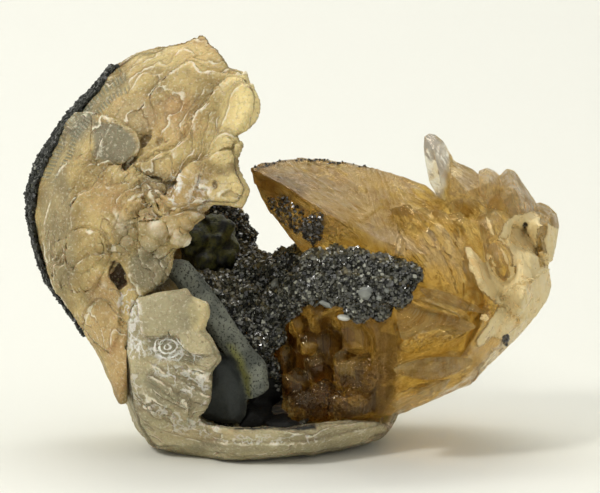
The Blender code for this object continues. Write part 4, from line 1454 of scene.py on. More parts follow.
# The upper valve's growth sheets, from its back to the broken edge, then its patches.
RIM_BAND = (
    (-47.5, 52.5), (-44.4, 58.7), (-43.3, 61.4), (-41.7, 63.2), (-38.2, 67.0), (-35.0, 69.9), (-32.6, 71.1),
)
UPPER_LEDGES = (
    Ledge(((-44.0, 30.0), (-49.0, 38.0), (-50.4, 46.5), (-47.5, 57.0), (-39.0, 67.0), (-30.0, 74.0)), 0,
        0.0),
    Ledge(RIM_BAND, 3, 0.35, 3.0, 0.15),
    Ledge(((-44.2, 31.0), (-45.8, 35.4), (-46.4, 38.8), (-46.8, 41.4), (-45.9, 45.0), (-44.2, 50.9),
        (-42.7, 53.5), (-39.8, 55.3), (-38.3, 54.7)), 5, 1.0, 5.0, 0.35),
    Ledge(((-42.9, 62.0), (-40.6, 63.5), (-38.2, 63.8), (-36.2, 63.5), (-33.9, 62.3), (-31.6, 60.8),
        (-29.8, 59.7), (-29.0, 57.3), (-29.7, 55.7), (-31.4, 53.8)), 7, 0.8, 5.0, 0.2),
    Ledge(((-39.5, 51.8), (-38.4, 53.2), (-36.0, 54.4), (-34.3, 54.7), (-32.8, 53.5), (-32.2, 52.6)), 8,
        0.6, 3.5),
    Ledge(((-43.6, 35.4), (-42.2, 35.4), (-41.8, 39.6), (-41.4, 44.4), (-40.2, 47.1), (-39.0, 48.5),
        (-35.8, 50.6), (-35.1, 52.4), (-33.7, 53.1), (-32.5, 52.4), (-31.1, 51.5), (-29.3, 52.5),
        (-26.7, 51.2), (-25.2, 51.5)), 10, 1.1, 4.0, 0.4),
    Ledge(((-43.4, 30.5), (-43.6, 35.4), (-42.2, 37.7), (-41.0, 40.0), (-39.1, 41.2), (-37.4, 41.0),
        (-35.7, 40.4), (-35.0, 38.3)), 12, 0.9, 3.5),
    Ledge(((-40.8, 30.5), (-41.1, 33.5), (-40.0, 35.4), (-38.0, 36.6), (-35.8, 37.0)), 15, 0.7, 3.0),
    Ledge(((-26.3, 67.0), (-24.9, 68.6), (-23.3, 70.5), (-21.9, 71.5), (-20.4, 72.4), (-19.0, 72.9),
        (-17.8, 71.9), (-16.4, 71.2), (-13.8, 71.1), (-11.1, 71.1)), 9, 0.8, 5.0, 0.3),
    Ledge(((-30.5, 67.5), (-28.9, 70.2), (-28.3, 70.9), (-27.1, 71.2), (-25.9, 70.8), (-24.5, 71.4)), 6,
        0.4, 3.0, 0.3),
    Ledge(((-31.6, 53.5), (-29.3, 54.4), (-27.0, 54.4), (-25.2, 55.7), (-23.4, 56.5), (-21.7, 57.3),
        (-19.9, 59.1), (-18.4, 62.6), (-17.0, 64.4), (-15.2, 66.1), (-13.5, 67.9), (-11.4, 69.6),
        (-9.4, 71.1)), 14, 0.9, 4.5, 0.3),
    Ledge(((-24.4, 48.5), (-23.5, 47.6), (-22.3, 47.9), (-20.5, 52.0), (-19.4, 53.8), (-17.3, 54.4),
        (-14.7, 55.3), (-12.6, 56.2), (-11.2, 57.6)), 19, 0.8, 4.0, 0.3),
    Ledge(((-31.1, 46.5), (-30.5, 47.6), (-29.3, 48.5), (-28.1, 49.1), (-27.3, 50.0), (-26.4, 49.4),
        (-25.2, 47.6), (-24.1, 46.5), (-23.2, 45.6)), 18, 0.8, 3.0, 0.3),
    Ledge(((-26.6, 43.7), (-25.3, 44.1), (-23.5, 44.7), (-20.6, 45.3), (-17.9, 45.0), (-16.5, 44.4)), 22,
        0.8, 3.5, 0.3),
    Ledge(((-13.6, 60.2), (-12.1, 64.0), (-10.9, 67.8), (-7.9, 69.1)), 20, 0.4, 4.0, 0.2),
    Ledge(((-16.1, 55.6), (-15.2, 57.9), (-13.8, 59.4), (-12.0, 60.0), (-10.6, 59.4)), 21, 0.4, 4.0, 0.2),
    Ledge(((-39.3, 24.6), (-38.5, 26.9), (-37.0, 28.1), (-35.1, 27.7), (-33.2, 25.8), (-31.5, 23.3)), 16,
        -0.6, 2.5, 0.3),
    Ledge(((-36.8, 11.6), (-39.0, 18.4), (-41.2, 23.3), (-43.1, 27.7), (-44.6, 31.0)), 4, 0.4, 3.0, 0.3),
)
UPPER_PATCHES = (
    Patch(Mark.GREY_AND_SHADOW, -44.5, 40.0, 3.6, 16.0, 0.55),
    Patch(Mark.GREY_AND_SHADOW, -42.0, 62.5, 5.0, 7.0, 0.55),
    Region(Mark.GREY_AND_SHADOW, ((-43.0, 60.0), (-36.5, 68.0), (-31.8, 71.6), (-30.5, 69.4), (-35.5, 64.8),
        (-40.5, 58.5)), 0.5),
    Region(Mark.GREY_AND_SHADOW, ((-37.2, 62.4), (-33.9, 62.0), (-29.8, 59.5), (-29.0, 57.3), (-31.5, 53.8),
        (-35.5, 54.6), (-37.8, 55.6)), 1.05),
    Patch(Mark.GREY_AND_SHADOW, -29.4, 63.3, 4.6, 4.0, 0.35),
    Region(Mark.GREY_AND_SHADOW, ((-33.8, 42.3), (-32.3, 43.9), (-27.0, 43.1), (-24.7, 41.2), (-22.9, 31.0),
        (-25.2, 29.6), (-29.3, 30.4), (-33.5, 38.1)), 0.3, 0.3),
    Patch(Mark.PEACH, -22.0, 45.0, 9.0, 5.0, 0.3),
    Patch(Mark.GREY_AND_SHADOW, -27.0, 34.0, 4.6, 4.6, 0.6),
    Patch(Mark.GREY_AND_SHADOW, -25.6, 50.6, 3.6, 2.4, 0.4),
    Patch(Mark.PEACH, -20.3, 50.2, 7.0, 4.5, 0.3),
    Patch(Mark.PEACH, -22.0, 62.5, 6.0, 4.5, 0.5),
    Patch(Mark.PEACH, -36.0, 48.0, 5.0, 4.0, 0.4),
    Patch(Mark.PEACH, -30.5, 47.0, 7.0, 4.0, 0.25),
    Patch(Mark.PEACH, -36.0, 30.5, 3.5, 3.0, 0.5),
    Patch(Mark.PEACH, -35.0, 22.5, 4.5, 5.0, 0.45),
    Patch(Mark.PEACH, -33.0, 15.0, 2.4, 7.0, 0.75),
    Patch(Mark.PEACH, -18.0, 75.5, 5.0, 2.6, 0.6),
    Patch(Mark.YELLOW, -22.0, 74.5, 9.0, 2.4, 0.4),
    Patch(Mark.YELLOW, -9.6, 64.5, 4.6, 8.0, 0.75),
    Patch(Mark.PEACH, -8.3, 63.0, 1.6, 2.6, 0.5),
    Patch(Mark.YELLOW, -13.0, 57.2, 3.4, 3.2, 0.6),
    Patch(Mark.YELLOW, -12.0, 48.0, 5.0, 5.0, 0.5),
    # Painted shade: the sunk holes and recesses below are darkened in the stain colour.
    Region(Mark.DARK_TONE_AND_SHADE, ((-28.7, 59.7), (-26.8, 60.3), (-26.6, 59.4), (-27.6, 57.9), (-28.5, 57.3)), 0.8,
        -0.8, 0.3),
    Region(Mark.DARK_TONE_AND_SHADE, ((-25.4, 59.4), (-24.3, 59.1), (-24.9, 57.9), (-25.8, 57.3)), 0.7, -0.4, 0.3),
    Patch(Mark.DARK_TONE_AND_SHADE, -14.6, 50.2, 0.5, 0.9, 0.9, -0.5),
    Region(Mark.DARK_TONE_AND_SHADE, ((-31.1, 45.3), (-29.3, 46.8), (-26.7, 47.3), (-24.4, 45.9), (-25.3, 43.5),
        (-28.2, 43.2), (-31.1, 44.1)), 0.3, -0.6),
    Region(Mark.DARK_TONE_AND_SHADE, ((-32.8, 53.2), (-31.6, 54.1), (-31.0, 54.7), (-29.9, 55.6), (-29.3, 55.3),
        (-30.5, 54.1), (-31.6, 52.9)), 0.8, -0.7, 0.3),
    Region(Mark.PEACH, ((-33.8, 67.0), (-29.8, 67.9), (-26.3, 66.7), (-25.1, 64.1), (-25.4, 61.4),
        (-28.6, 60.3), (-33.9, 63.2)), 0.35, 0.1),
    Region(Mark.PEACH, ((-24.2, 67.0), (-21.9, 68.2), (-19.0, 67.9), (-19.0, 64.9), (-21.1, 63.2),
        (-23.7, 62.0), (-24.2, 64.4)), 0.45, -0.2),
    Region(Mark.YELLOW, ((-10.5, 71.4), (-8.8, 71.1), (-7.3, 68.4), (-5.8, 65.5), (-6.3, 62.6),
        (-8.2, 60.6), (-10.6, 60.3), (-10.8, 69.6)), 0.6),
    Region(Mark.PEACH, ((-9.1, 63.2), (-7.9, 64.9), (-6.3, 64.4), (-6.4, 62.3), (-8.2, 61.7)), 0.5),
    Region(Mark.CHALK, ((-23.5, 48.5), (-22.3, 52.1), (-20.5, 52.6), (-20.5, 50.3), (-21.4, 47.9),
        (-22.9, 45.9), (-23.8, 46.8)), 0.3),
    # Painted shade in a deep sunk hole.
    Region(Mark.DARK_TONE_AND_SHADE, ((-34.5, 35.4), (-33.6, 35.8), (-32.7, 34.2), (-31.6, 32.4), (-31.6, 31.2),
        (-32.8, 30.3), (-34.8, 32.7)), 1.3, -1.2, 0.3),
    Patch(Mark.CHALK, -31.0, 27.5, 2.4, 3.0, 0.6),
    Patch(Mark.CHALK, -17.5, 48.0, 3.0, 4.5, 0.35),
    Patch(Mark.CHALK, -22.0, 50.0, 2.0, 4.0, 0.4),
)
POPCORN = tuple(
    Knob(
        -33.2 + 1.75 * (n % 8) + 0.55 * math.sin(5.1 * n), 44.6 - 1.6 * (n // 8) + 0.5 * math.cos(3.7 * n),
        1.25 + 0.3 * math.sin(2.3 * n),
    )
    for n in range(32)
)
UPPER_KNOBS = POPCORN + (Knob(-29.6, 50.3, 0.75), Knob(-31.4, 51.0, 0.5), Knob(-28.2, 50.9, 0.45))
UPPER_RIBS = (Ribs(RIM_BAND, -3.4, -0.3), Ribs(RIM_BAND, 0.3, 2.2), Ribs(RIM_BAND, 2.5, 4.2))

FLAKE_BAND = (
    (-27.5, 20.6), (-23.3, 21.4), (-21.5, 20.6), (-20.4, 17.9), (-16.5, 17.6), (-17.7, 15.8), (-25.1, 16.4),
    (-27.2, 17.9),
)
LOWER_LEDGES = (
    Ledge(((-33.5, 15.0), (-31.7, 4.0), (-24.4, -0.6), (-12.3, -2.6), (0.0, -1.2), (12.0, 1.0)), 0, 0.0),
    Ledge(((-16.5, 17.6), (-18.3, 17.6), (-19.7, 18.2), (-21.2, 19.4), (-22.1, 21.2), (-26.6, 21.4),
        (-28.7, 22.4), (-29.0, 25.8), (-29.2, 27.5)), 12, 0.7, 6.0, 0.2),
    Ledge(((-31.7, 18.0), (-31.1, 14.6), (-30.6, 10.9), (-28.2, 7.9), (-25.2, 6.0), (-20.7, 4.5)), 6, -0.4,
        4.0, 0.25),
    Ledge(((-32.5, 14.2), (-32.0, 10.3), (-30.3, 6.8), (-27.3, 3.6), (-22.5, 1.7), (-16.7, 0.5)), 3, -0.3,
        4.0, 0.25),
    Ledge(((-26.3, 15.5), (-22.2, 13.0), (-16.2, 9.7)), 10, 0.4, 4.0, 0.4),
    Ledge(((-26.7, 13.3), (-23.7, 11.5), (-20.1, 8.5), (-19.8, 6.3)), 8, 0.35, 4.0, 0.4),
    Ledge(((-16.0, 0.8), (-6.0, 0.2), (4.0, 0.9), (13.0, 3.0)), 3, 0.35, 4.0, 0.2),
)
LOWER_PATCHES = (
    Region(Mark.CHALK, ((-31.3, 27.7), (-29.5, 28.5), (-28.6, 25.5), (-28.4, 22.7), (-28.1, 19.4),
        (-27.5, 17.6), (-29.9, 16.2), (-32.0, 17.4), (-31.4, 22.4)), 0.72),
    Region(Mark.GREY_AND_SHADOW, FLAKE_BAND, 0.8, -0.25),
    Region(Mark.CHALK, FLAKE_BAND, 0.6),
    Region(Mark.CHALK, ((-26.6, 16.1), (-22.2, 15.5), (-17.1, 14.6), (-15.7, 13.0), (-16.2, 7.3),
        (-19.2, 8.8), (-23.4, 12.1), (-26.6, 13.9)), 0.55),
    Region(Mark.GREY_AND_SHADOW, ((-26.6, 16.1), (-22.2, 15.5), (-17.1, 14.6), (-16.2, 7.3), (-19.2, 6.8),
        (-25.4, 8.1), (-28.6, 11.9)), 0.45),
    Region(Mark.CHALK, ((-31.7, 14.9), (-29.3, 13.9), (-28.5, 10.9), (-26.7, 8.5), (-22.2, 7.3),
        (-20.7, 4.8), (-25.2, 5.4), (-29.4, 7.3), (-31.5, 10.9)), 0.4),
    Region(Mark.GREY_AND_SHADOW, ((-29.2, 27.9), (-25.0, 29.4), (-21.8, 30.3), (-19.4, 29.0), (-17.5, 26.5),
        (-18.4, 22.9), (-21.5, 21.2), (-26.6, 21.8), (-28.4, 22.7), (-28.6, 25.5)), 0.4),
    Patch(Mark.CHALK, -18.0, 3.5, 7.0, 2.0, 0.4),
    Patch(Mark.CHALK, -4.0, 1.0, 12.0, 1.2, 0.45),
    Patch(Mark.GREY_AND_SHADOW, -28.5, 9.5, 3.5, 6.0, 0.35),
    Patch(Mark.GREY_AND_SHADOW, -12.0, -0.5, 9.0, 1.2, 0.4),
    Patch(Mark.YELLOW, -17.5, 25.5, 2.5, 3.5, 0.45),
    Patch(Mark.PEACH, -17.0, 2.0, 9.0, 1.2, 0.25),
    # Painted shadow: the floor of the bowl, in near-black flecks.
    Region(Mark.DIRT_AND_SHADOW, ((-11.0, 3.0), (-9.5, 13.0), (4.0, 13.0), (4.6, 3.0)), 1.2, 0.0, 0.4),
)

CREAM_SHELL = ShellFinish("cream_shell", (0.56, 0.425, 0.175), (0.32, 0.23, 0.085))
CHALKY_SHELL = ShellFinish(
    "chalky_shell", (0.52, 0.45, 0.26), (0.36, 0.31, 0.175), line_spacing=1.3, line_strength=0.3
)

# Outlines on the calcite, clockwise. Those of blades are closed by the code.
CREAM_END = (
    (36.8, 38.7), (39.5, 40.6), (41.7, 44.6), (45.1, 45.4), (48.0, 43.5), (51.9, 41.0), (51.9, 32.0),
    (49.6, 26.2), (46.5, 20.4), (43.5, 17.4), (40.5, 18.5), (38.2, 21.5), (38.0, 24.0), (39.0, 27.1),
    (38.1, 30.0), (36.3, 33.9),
)
UNDERSIDE = (
    (12.5, 0.5), (16.5, 5.0), (21.5, 9.0), (28.5, 12.0), (34.0, 17.0), (36.5, 20.0), (42.0, 17.0),
    (37.0, 9.0), (30.0, 6.0), (20.0, 1.5),
)
WHITE_BLADE = (
    (32.8, 38.6), (34.2, 37.9), (36.2, 35.5), (38.0, 33.1), (39.8, 31.3), (41.0, 29.9), (40.0, 27.9),
    (38.6, 27.5), (36.9, 29.1), (35.1, 31.1), (33.6, 34.3),
)
LOW_BLADE = (
    (41.0, 26.7), (40.3, 24.7), (38.5, 21.9), (36.7, 19.5), (35.2, 19.1), (34.8, 19.9), (36.3, 22.3),
    (38.1, 24.7), (39.4, 26.7),
)
EGG = (
    (36.8, 37.9), (37.3, 40.0), (38.9, 40.2), (40.7, 39.0), (41.9, 36.3), (42.3, 33.1), (41.0, 31.8),
    (39.0, 32.8), (37.4, 35.5),
)
BAR_A = (
    (44.0, 40.2), (45.0, 42.6), (46.3, 44.0), (47.0, 43.0), (46.8, 39.4), (46.4, 35.9), (45.3, 34.3),
    (44.7, 37.1),
)
BAR_B = ((48.1, 42.6), (49.1, 44.6), (50.3, 44.2), (50.6, 41.0), (50.0, 37.1), (49.0, 34.3), (48.4, 37.9))
CREST = (
    (29.4, 52.9), (32.5, 53.7), (35.7, 53.1), (40.7, 53.1), (45.1, 48.2), (46.7, 45.8), (41.2, 44.6),
    (36.5, 47.0), (30.6, 47.4),
)
SPEAR_EDGE = (
    (-7.4, 53.7), (-3.2, 55.6), (1.9, 56.0), (7.0, 55.6), (12.1, 55.0), (17.6, 54.2), (23.1, 51.7),
    (17.2, 53.2), (12.1, 53.8), (7.0, 54.2), (1.9, 54.7), (-3.2, 54.1), (-6.9, 52.7),
)
AMBER_BAR = ((46.9, 43.0), (47.9, 44.6), (48.3, 39.4), (48.0, 34.7), (47.1, 34.3), (46.8, 39.4))
END_FACET = (
    (35.7, 44.2), (38.5, 45.2), (40.8, 44.8), (41.6, 41.8), (40.9, 40.0), (38.7, 40.2), (36.8, 38.3),
    (36.0, 41.0),
)
END_LENS = (
    (37.1, 47.0), (37.9, 48.0), (39.2, 48.2), (40.8, 46.4), (41.2, 44.6), (39.6, 45.4), (37.7, 45.6),
)
MIDDLE_MASS = (
    (39.8, 28.3), (41.0, 30.3), (42.5, 32.3), (43.3, 35.9), (45.3, 33.9), (45.7, 30.7), (45.2, 27.9),
    (43.8, 24.7), (41.0, 26.7),
)
RIGHT_MASS = (
    (43.4, 24.7), (45.2, 27.9), (45.7, 31.5), (46.9, 33.9), (49.2, 33.9), (49.7, 30.7), (48.5, 27.9),
    (47.0, 24.7),
)
UPPER_CHEVRON = (
    (20.1, 27.9), (23.6, 27.5), (28.0, 26.3), (32.0, 24.7), (35.1, 22.9), (32.0, 21.9), (28.0, 22.3),
    (24.1, 21.5), (20.9, 20.7),
)
LOW_SPEAR = ((19.4, 14.6), (25.7, 16.9), (34.4, 16.7), (31.6, 14.2), (25.7, 12.6))
CLEAR_UPRIGHT = (
    (24.9, 58.0), (25.3, 59.8), (26.8, 60.2), (28.7, 57.9), (29.6, 56.1), (29.7, 52.9), (28.8, 49.5),
    (27.8, 47.6), (26.6, 49.0), (25.2, 52.9), (24.7, 55.7),
)
POCKET = (
    (-5.0, 15.8), (-3.0, 19.3), (2.1, 29.9), (9.0, 29.9), (13.2, 26.0), (19.0, 25.0), (20.6, 20.9),
    (20.9, 16.7), (20.4, 12.6), (18.6, 7.6), (17.4, 1.9), (2.1, 2.1), (-1.9, 8.6), (-4.6, 13.8),
)
SOFT_END = (
    (35.5, 47.0), (38.5, 47.0), (41.0, 45.5), (44.0, 45.0), (45.5, 43.0), (46.5, 40.0), (46.6, 33.0),
    (45.8, 27.0), (43.0, 21.0), (39.0, 16.5), (36.0, 14.0), (34.0, 17.0), (34.5, 24.0), (32.5, 31.0),
    (32.0, 38.0),
)
CLOT = ((2.3, 43.1), (3.8, 45.0), (5.7, 44.2), (5.7, 40.4), (4.2, 38.7), (2.4, 40.0))
NARROW_CHEVRON = ((24.4, 30.3), (29.5, 29.6), (34.3, 27.4), (37.1, 25.6), (32.7, 26.2), (27.0, 27.9))


@dataclass(frozen=True)
class Plate:
    """The outline of a blade on the drawing, drawn clockwise, and how far its middle stands proud."""

    corners: Corners
    proud: float
    depth: float = 2.2
    steepest: float = 0.8
    sunk_share: float = 35.0
    rim_share: float = 0.12
    dome_power: float = 2.2

    def points(self, tree: BVHTree, rings: int, turns: int) -> tuple[np.ndarray, int]:
        """Places of the blade's front and back, ring by ring from the rim to the middle.

        Args:
            tree: The calcite's surface, which the blade lies on.
            rings: Rings between the rim and the middle.
            turns: Points laid on each side of the outline.

        Returns:
            The front's points, then the back's, and how many points a ring has.
        """
        path = rounded_path(self.corners[-1:] + self.corners + self.corners[:2], turns)[turns:-(turns + 1)]
        middle = path.mean(axis=0)
        shares = [ring / rings for ring in range(rings)]
        flat = np.vstack([path + (middle - path) * share for share in shares])
        inward = np.repeat(shares, len(path))
        eye = Vector(DRAWING.eye)
        hits = []
        for x, v in flat.tolist():
            hit = tree.ray_cast(eye, (DRAWING.place(x, v, 0.0) - eye).normalized())[0]
            hits.append(hit.y if hit else math.nan)
        hits = np.array(hits)
        seen = ~np.isnan(hits)
        slope = np.column_stack([flat, np.ones(len(flat))])
        fit = np.linalg.lstsq(slope[seen], hits[seen], rcond=None)[0]
        fit[:2] = np.clip(fit[:2], -self.steepest, self.steepest)
        plane = slope @ fit
        plane += np.percentile((hits - plane)[seen], self.sunk_share)
        dome = 1.0 - (1.0 - inward) ** self.dome_power
        front = plane - self.proud * (self.rim_share + (1.0 - self.rim_share) * dome)
        back = plane + self.depth
        depths = np.concatenate([front, back])
        rows = [tuple(DRAWING.place(x, v, y)) for (x, v), y in zip(flat.tolist() * 2, depths.tolist())]
        return np.array(rows), len(path)


@dataclass(frozen=True)
class BladePlates:
    """Thin overlapping blades grown on the calcite's end, joined as one piece."""

    name: str
    plates: tuple[Plate, ...]
    rings: int = 7
    turns: int = 5

    def build(self, tree: BVHTree, material: bpy.types.Material, node: str, room: Room) -> Piece:
        """Builds the blades.

        Args:
            tree: The calcite's surface, which the blades lie on.
            material: Their finish.
            node: The solid that they stand for.
            room: The box that they stay inside.

        Returns:
            The piece.
        """
        points = []
        faces = []
        growth = []
        for plate in self.plates:
            rows, around = plate.points(tree, self.rings, self.turns)
            start = sum(len(row) for row in points)
            half = len(rows) // 2
            for side in (0, half):
                for ring, spot in itertools.product(range(self.rings - 1), range(around)):
                    a = start + side + ring * around + spot
                    c = start + side + ring * around + (spot + 1) % around
                    quad = (a, c, c + around, a + around)
                    faces.append(quad if side else quad[::-1])
                last = [start + side + (self.rings - 1) * around + spot for spot in range(around)]
                faces.append(tuple(last if side else last[::-1]))
            for spot in range(around):
                a, c = start + spot, start + (spot + 1) % around
                faces.append((a, c, c + half, a + half))
            points.append(np.clip(rows, room.low, room.high))
            away = DRAWING.flat(rows) - np.array(plate.corners[0])
            growth.append(np.hypot(away[:, 0], away[:, 1]))
        mesh = bpy.data.meshes.new(self.name)
        mesh.from_pydata((np.vstack(points) * MM).tolist(), [], faces)
        write_mark(mesh, Mark.GROWTH, np.concatenate(growth))
        for mark in CALCITE_MARKS:
            mesh.attributes.new(mark.value, "FLOAT", "POINT")
        mesh.shade_smooth()
        mesh.set_sharp_from_angle(angle=FACET_ANGLE)
        mesh.materials.append(material)
        return dressed(bpy.data.objects.new(self.name, mesh), node)


CALCITE_MARKS = (Mark.MILK, Mark.DIRT_AND_SHADOW, Mark.DARK_TONE_AND_SHADE, Mark.CLEAR, Mark.YELLOW)
CALCITE_BLADES = (
    Blade(UPPER_CHEVRON, 10, 0.5, 2.0, 0.1),
    Blade(LOW_SPEAR, 11, 0.5, 2.0, 0.1),
    Ledge(((14.5, 44.2), (17.6, 45.8), (21.6, 44.2), (24.7, 41.0), (26.7, 37.9), (27.9, 33.9)), 12, -0.25,
        2.0, 0.3),
    Ledge(((24.7, 39.4), (29.9, 36.7), (32.3, 33.1), (32.7, 28.7)), 13, -0.35, 3.0, 0.15),
    Ledge(((27.9, 45.0), (29.4, 47.0), (32.2, 48.0), (35.3, 47.4), (37.3, 45.8)), 14, -0.4, 3.0, 0.15),
    Ledge(((20.0, 38.0), (20.6, 40.6), (21.6, 37.9), (21.2, 36.3)), 15, 0.5, 2.0, 0.1),
    Blade(END_FACET, 16, 0.35, 2.0, 0.1),
    Blade(RIGHT_MASS, 17, 0.45, 2.0, 0.1),
    Blade(MIDDLE_MASS, 18, 0.55, 2.0, 0.1),
    Blade(EGG, 19, 0.6, 1.6, 0.1),
    Blade(WHITE_BLADE, 20, 0.5, 1.2, 0.1),
    Blade(LOW_BLADE, 21, 0.4, 1.2, 0.1),
    Blade(BAR_A, 22, 0.5, 1.0, 0.1),
    Blade(BAR_B, 23, 0.4, 1.0, 0.1),
)
AMBER_BLADES = (
    Plate(END_LENS, 0.5),
    Plate(UPPER_CHEVRON, 0.5),
    Plate(LOW_SPEAR, 0.45),
    Plate(NARROW_CHEVRON, 0.5),
)
CALCITE_PATCHES = (
    Region(Mark.MILK, CREAM_END, 0.95),
    Region(Mark.MILK, UNDERSIDE, 0.5),
    Region(Mark.MILK, WHITE_BLADE, 1.0, 0.0, 0.4),
    Region(Mark.MILK, LOW_BLADE, 1.0, 0.0, 0.4),
    Region(Mark.MILK, END_FACET, 0.45),
    Region(Mark.MILK, AMBER_BAR, -0.8, -0.2, 0.4),
    Region(Mark.MILK, LOW_SPEAR, 0.35, 0.0, 0.4),
    Region(Mark.CLEAR, CLEAR_UPRIGHT, 1.0, 0.0, 0.4),
    Region(Mark.MILK, EGG, -0.5),
    Region(Mark.YELLOW, EGG, 0.4),
    Region(Mark.YELLOW, AMBER_BAR, 0.8),
    Region(Mark.YELLOW, CREST, 0.7),
    Region(Mark.CLEAR, CREST, 0.45),
    Region(Mark.DIRT_AND_SHADOW, SPEAR_EDGE, 0.75, 0.0, 0.3),
    Region(Mark.YELLOW, ((24.8, 34.3), (27.9, 35.5), (31.1, 33.9), (32.5, 29.9), (28.8, 29.9),
        (25.2, 31.5)), 0.8),
    Region(Mark.CLEAR, ((13.7, 41.8), (17.6, 41.8), (23.2, 39.4), (24.4, 37.1), (21.6, 36.3), (15.3, 39.4)),
        0.4),
    Region(Mark.CLEAR, ((24.0, 40.6), (28.1, 42.5), (32.3, 39.6), (33.1, 33.9), (31.0, 29.1), (25.9, 30.0)),
        0.35, 0.2),
    Patch(Mark.DARK_TONE_AND_SHADE, -2.0, 50.0, 5.0, 3.0, 0.35),
    Region(Mark.DARK_TONE_AND_SHADE, ((-6.5, 51.0), (-2.0, 52.5), (8.0, 51.5), (17.0, 49.0), (23.0, 45.0), (22.0, 40.5),
        (12.0, 38.0), (3.0, 39.0), (-4.0, 46.5)), 0.36, 0.0, 2.0),
    # Painted shade: the pocket darkened to deep brown.
    Region(Mark.DARK_TONE_AND_SHADE, POCKET, 0.9, 0.0, 1.2),
    Region(Mark.DARK_TONE_AND_SHADE, ((-0.3, 24.3), (1.1, 24.7), (2.3, 21.5), (1.5, 20.7), (0.1, 22.7)), -0.9, 0.2, 0.3),
    Region(Mark.DARK_TONE_AND_SHADE, ((1.7, 19.9), (4.9, 19.5), (4.9, 17.1), (3.9, 17.5), (2.3, 17.9)), -0.9, 0.2, 0.3),
    Region(Mark.DARK_TONE_AND_SHADE, ((9.0, 16.7), (12.2, 16.7), (12.0, 13.4), (9.1, 13.8)), -0.6, 0.0, 0.4),
    Region(Mark.DARK_TONE_AND_SHADE, ((-2.8, 13.8), (0.3, 12.6), (3.9, 10.2), (4.3, 6.6), (1.9, 7.4), (-1.7, 10.6)), 0.5,
        0.2, 0.4),
    Region(Mark.DARK_TONE_AND_SHADE, ((3.5, 15.0), (5.9, 16.0), (7.9, 14.2), (7.9, 11.8), (5.9, 11.0), (3.9, 12.2)), 0.4,
        0.4, 0.3),
    Region(Mark.DARK_TONE_AND_SHADE, ((4.0, 11.0), (7.5, 10.9), (9.2, 9.8), (7.8, 6.8), (7.4, 3.2), (4.6, 3.0),
        (3.8, 6.5)), 0.4, 0.2, 0.3),
    Region(Mark.DIRT_AND_SHADOW, ((-4.6, 48.1), (-0.4, 48.4), (2.6, 46.2), (3.0, 41.9), (0.7, 40.4), (-2.3, 43.1),
        (-4.2, 45.8)), 0.85),
    Region(Mark.DIRT_AND_SHADOW, ((-6.5, 49.2), (-4.9, 48.1), (-1.2, 41.9), (3.0, 36.6), (1.5, 36.6), (-3.1, 42.3)),
        0.4),
    Region(Mark.DIRT_AND_SHADOW, ((5.0, 45.5), (10.6, 42.6), (12.5, 40.5), (9.8, 39.4), (4.4, 39.4)), 0.55, 0.0, 1.5),
    Region(Mark.DIRT_AND_SHADOW, CLOT, 1.6, 0.25),
    Patch(Mark.DIRT_AND_SHADOW, 40.8, 20.4, 0.8, 1.1, 1.2),
    Patch(Mark.DIRT_AND_SHADOW, 44.3, 42.3, 0.45, 0.75, 1.4, -0.4),
    Patch(Mark.DARK_TONE_AND_SHADE, 47.3, 38.0, 0.5, 0.45, 0.7, 0.3),
    Patch(Mark.DARK_TONE_AND_SHADE, 46.5, 38.7, 0.35, 0.5, 0.6, 0.25),
)


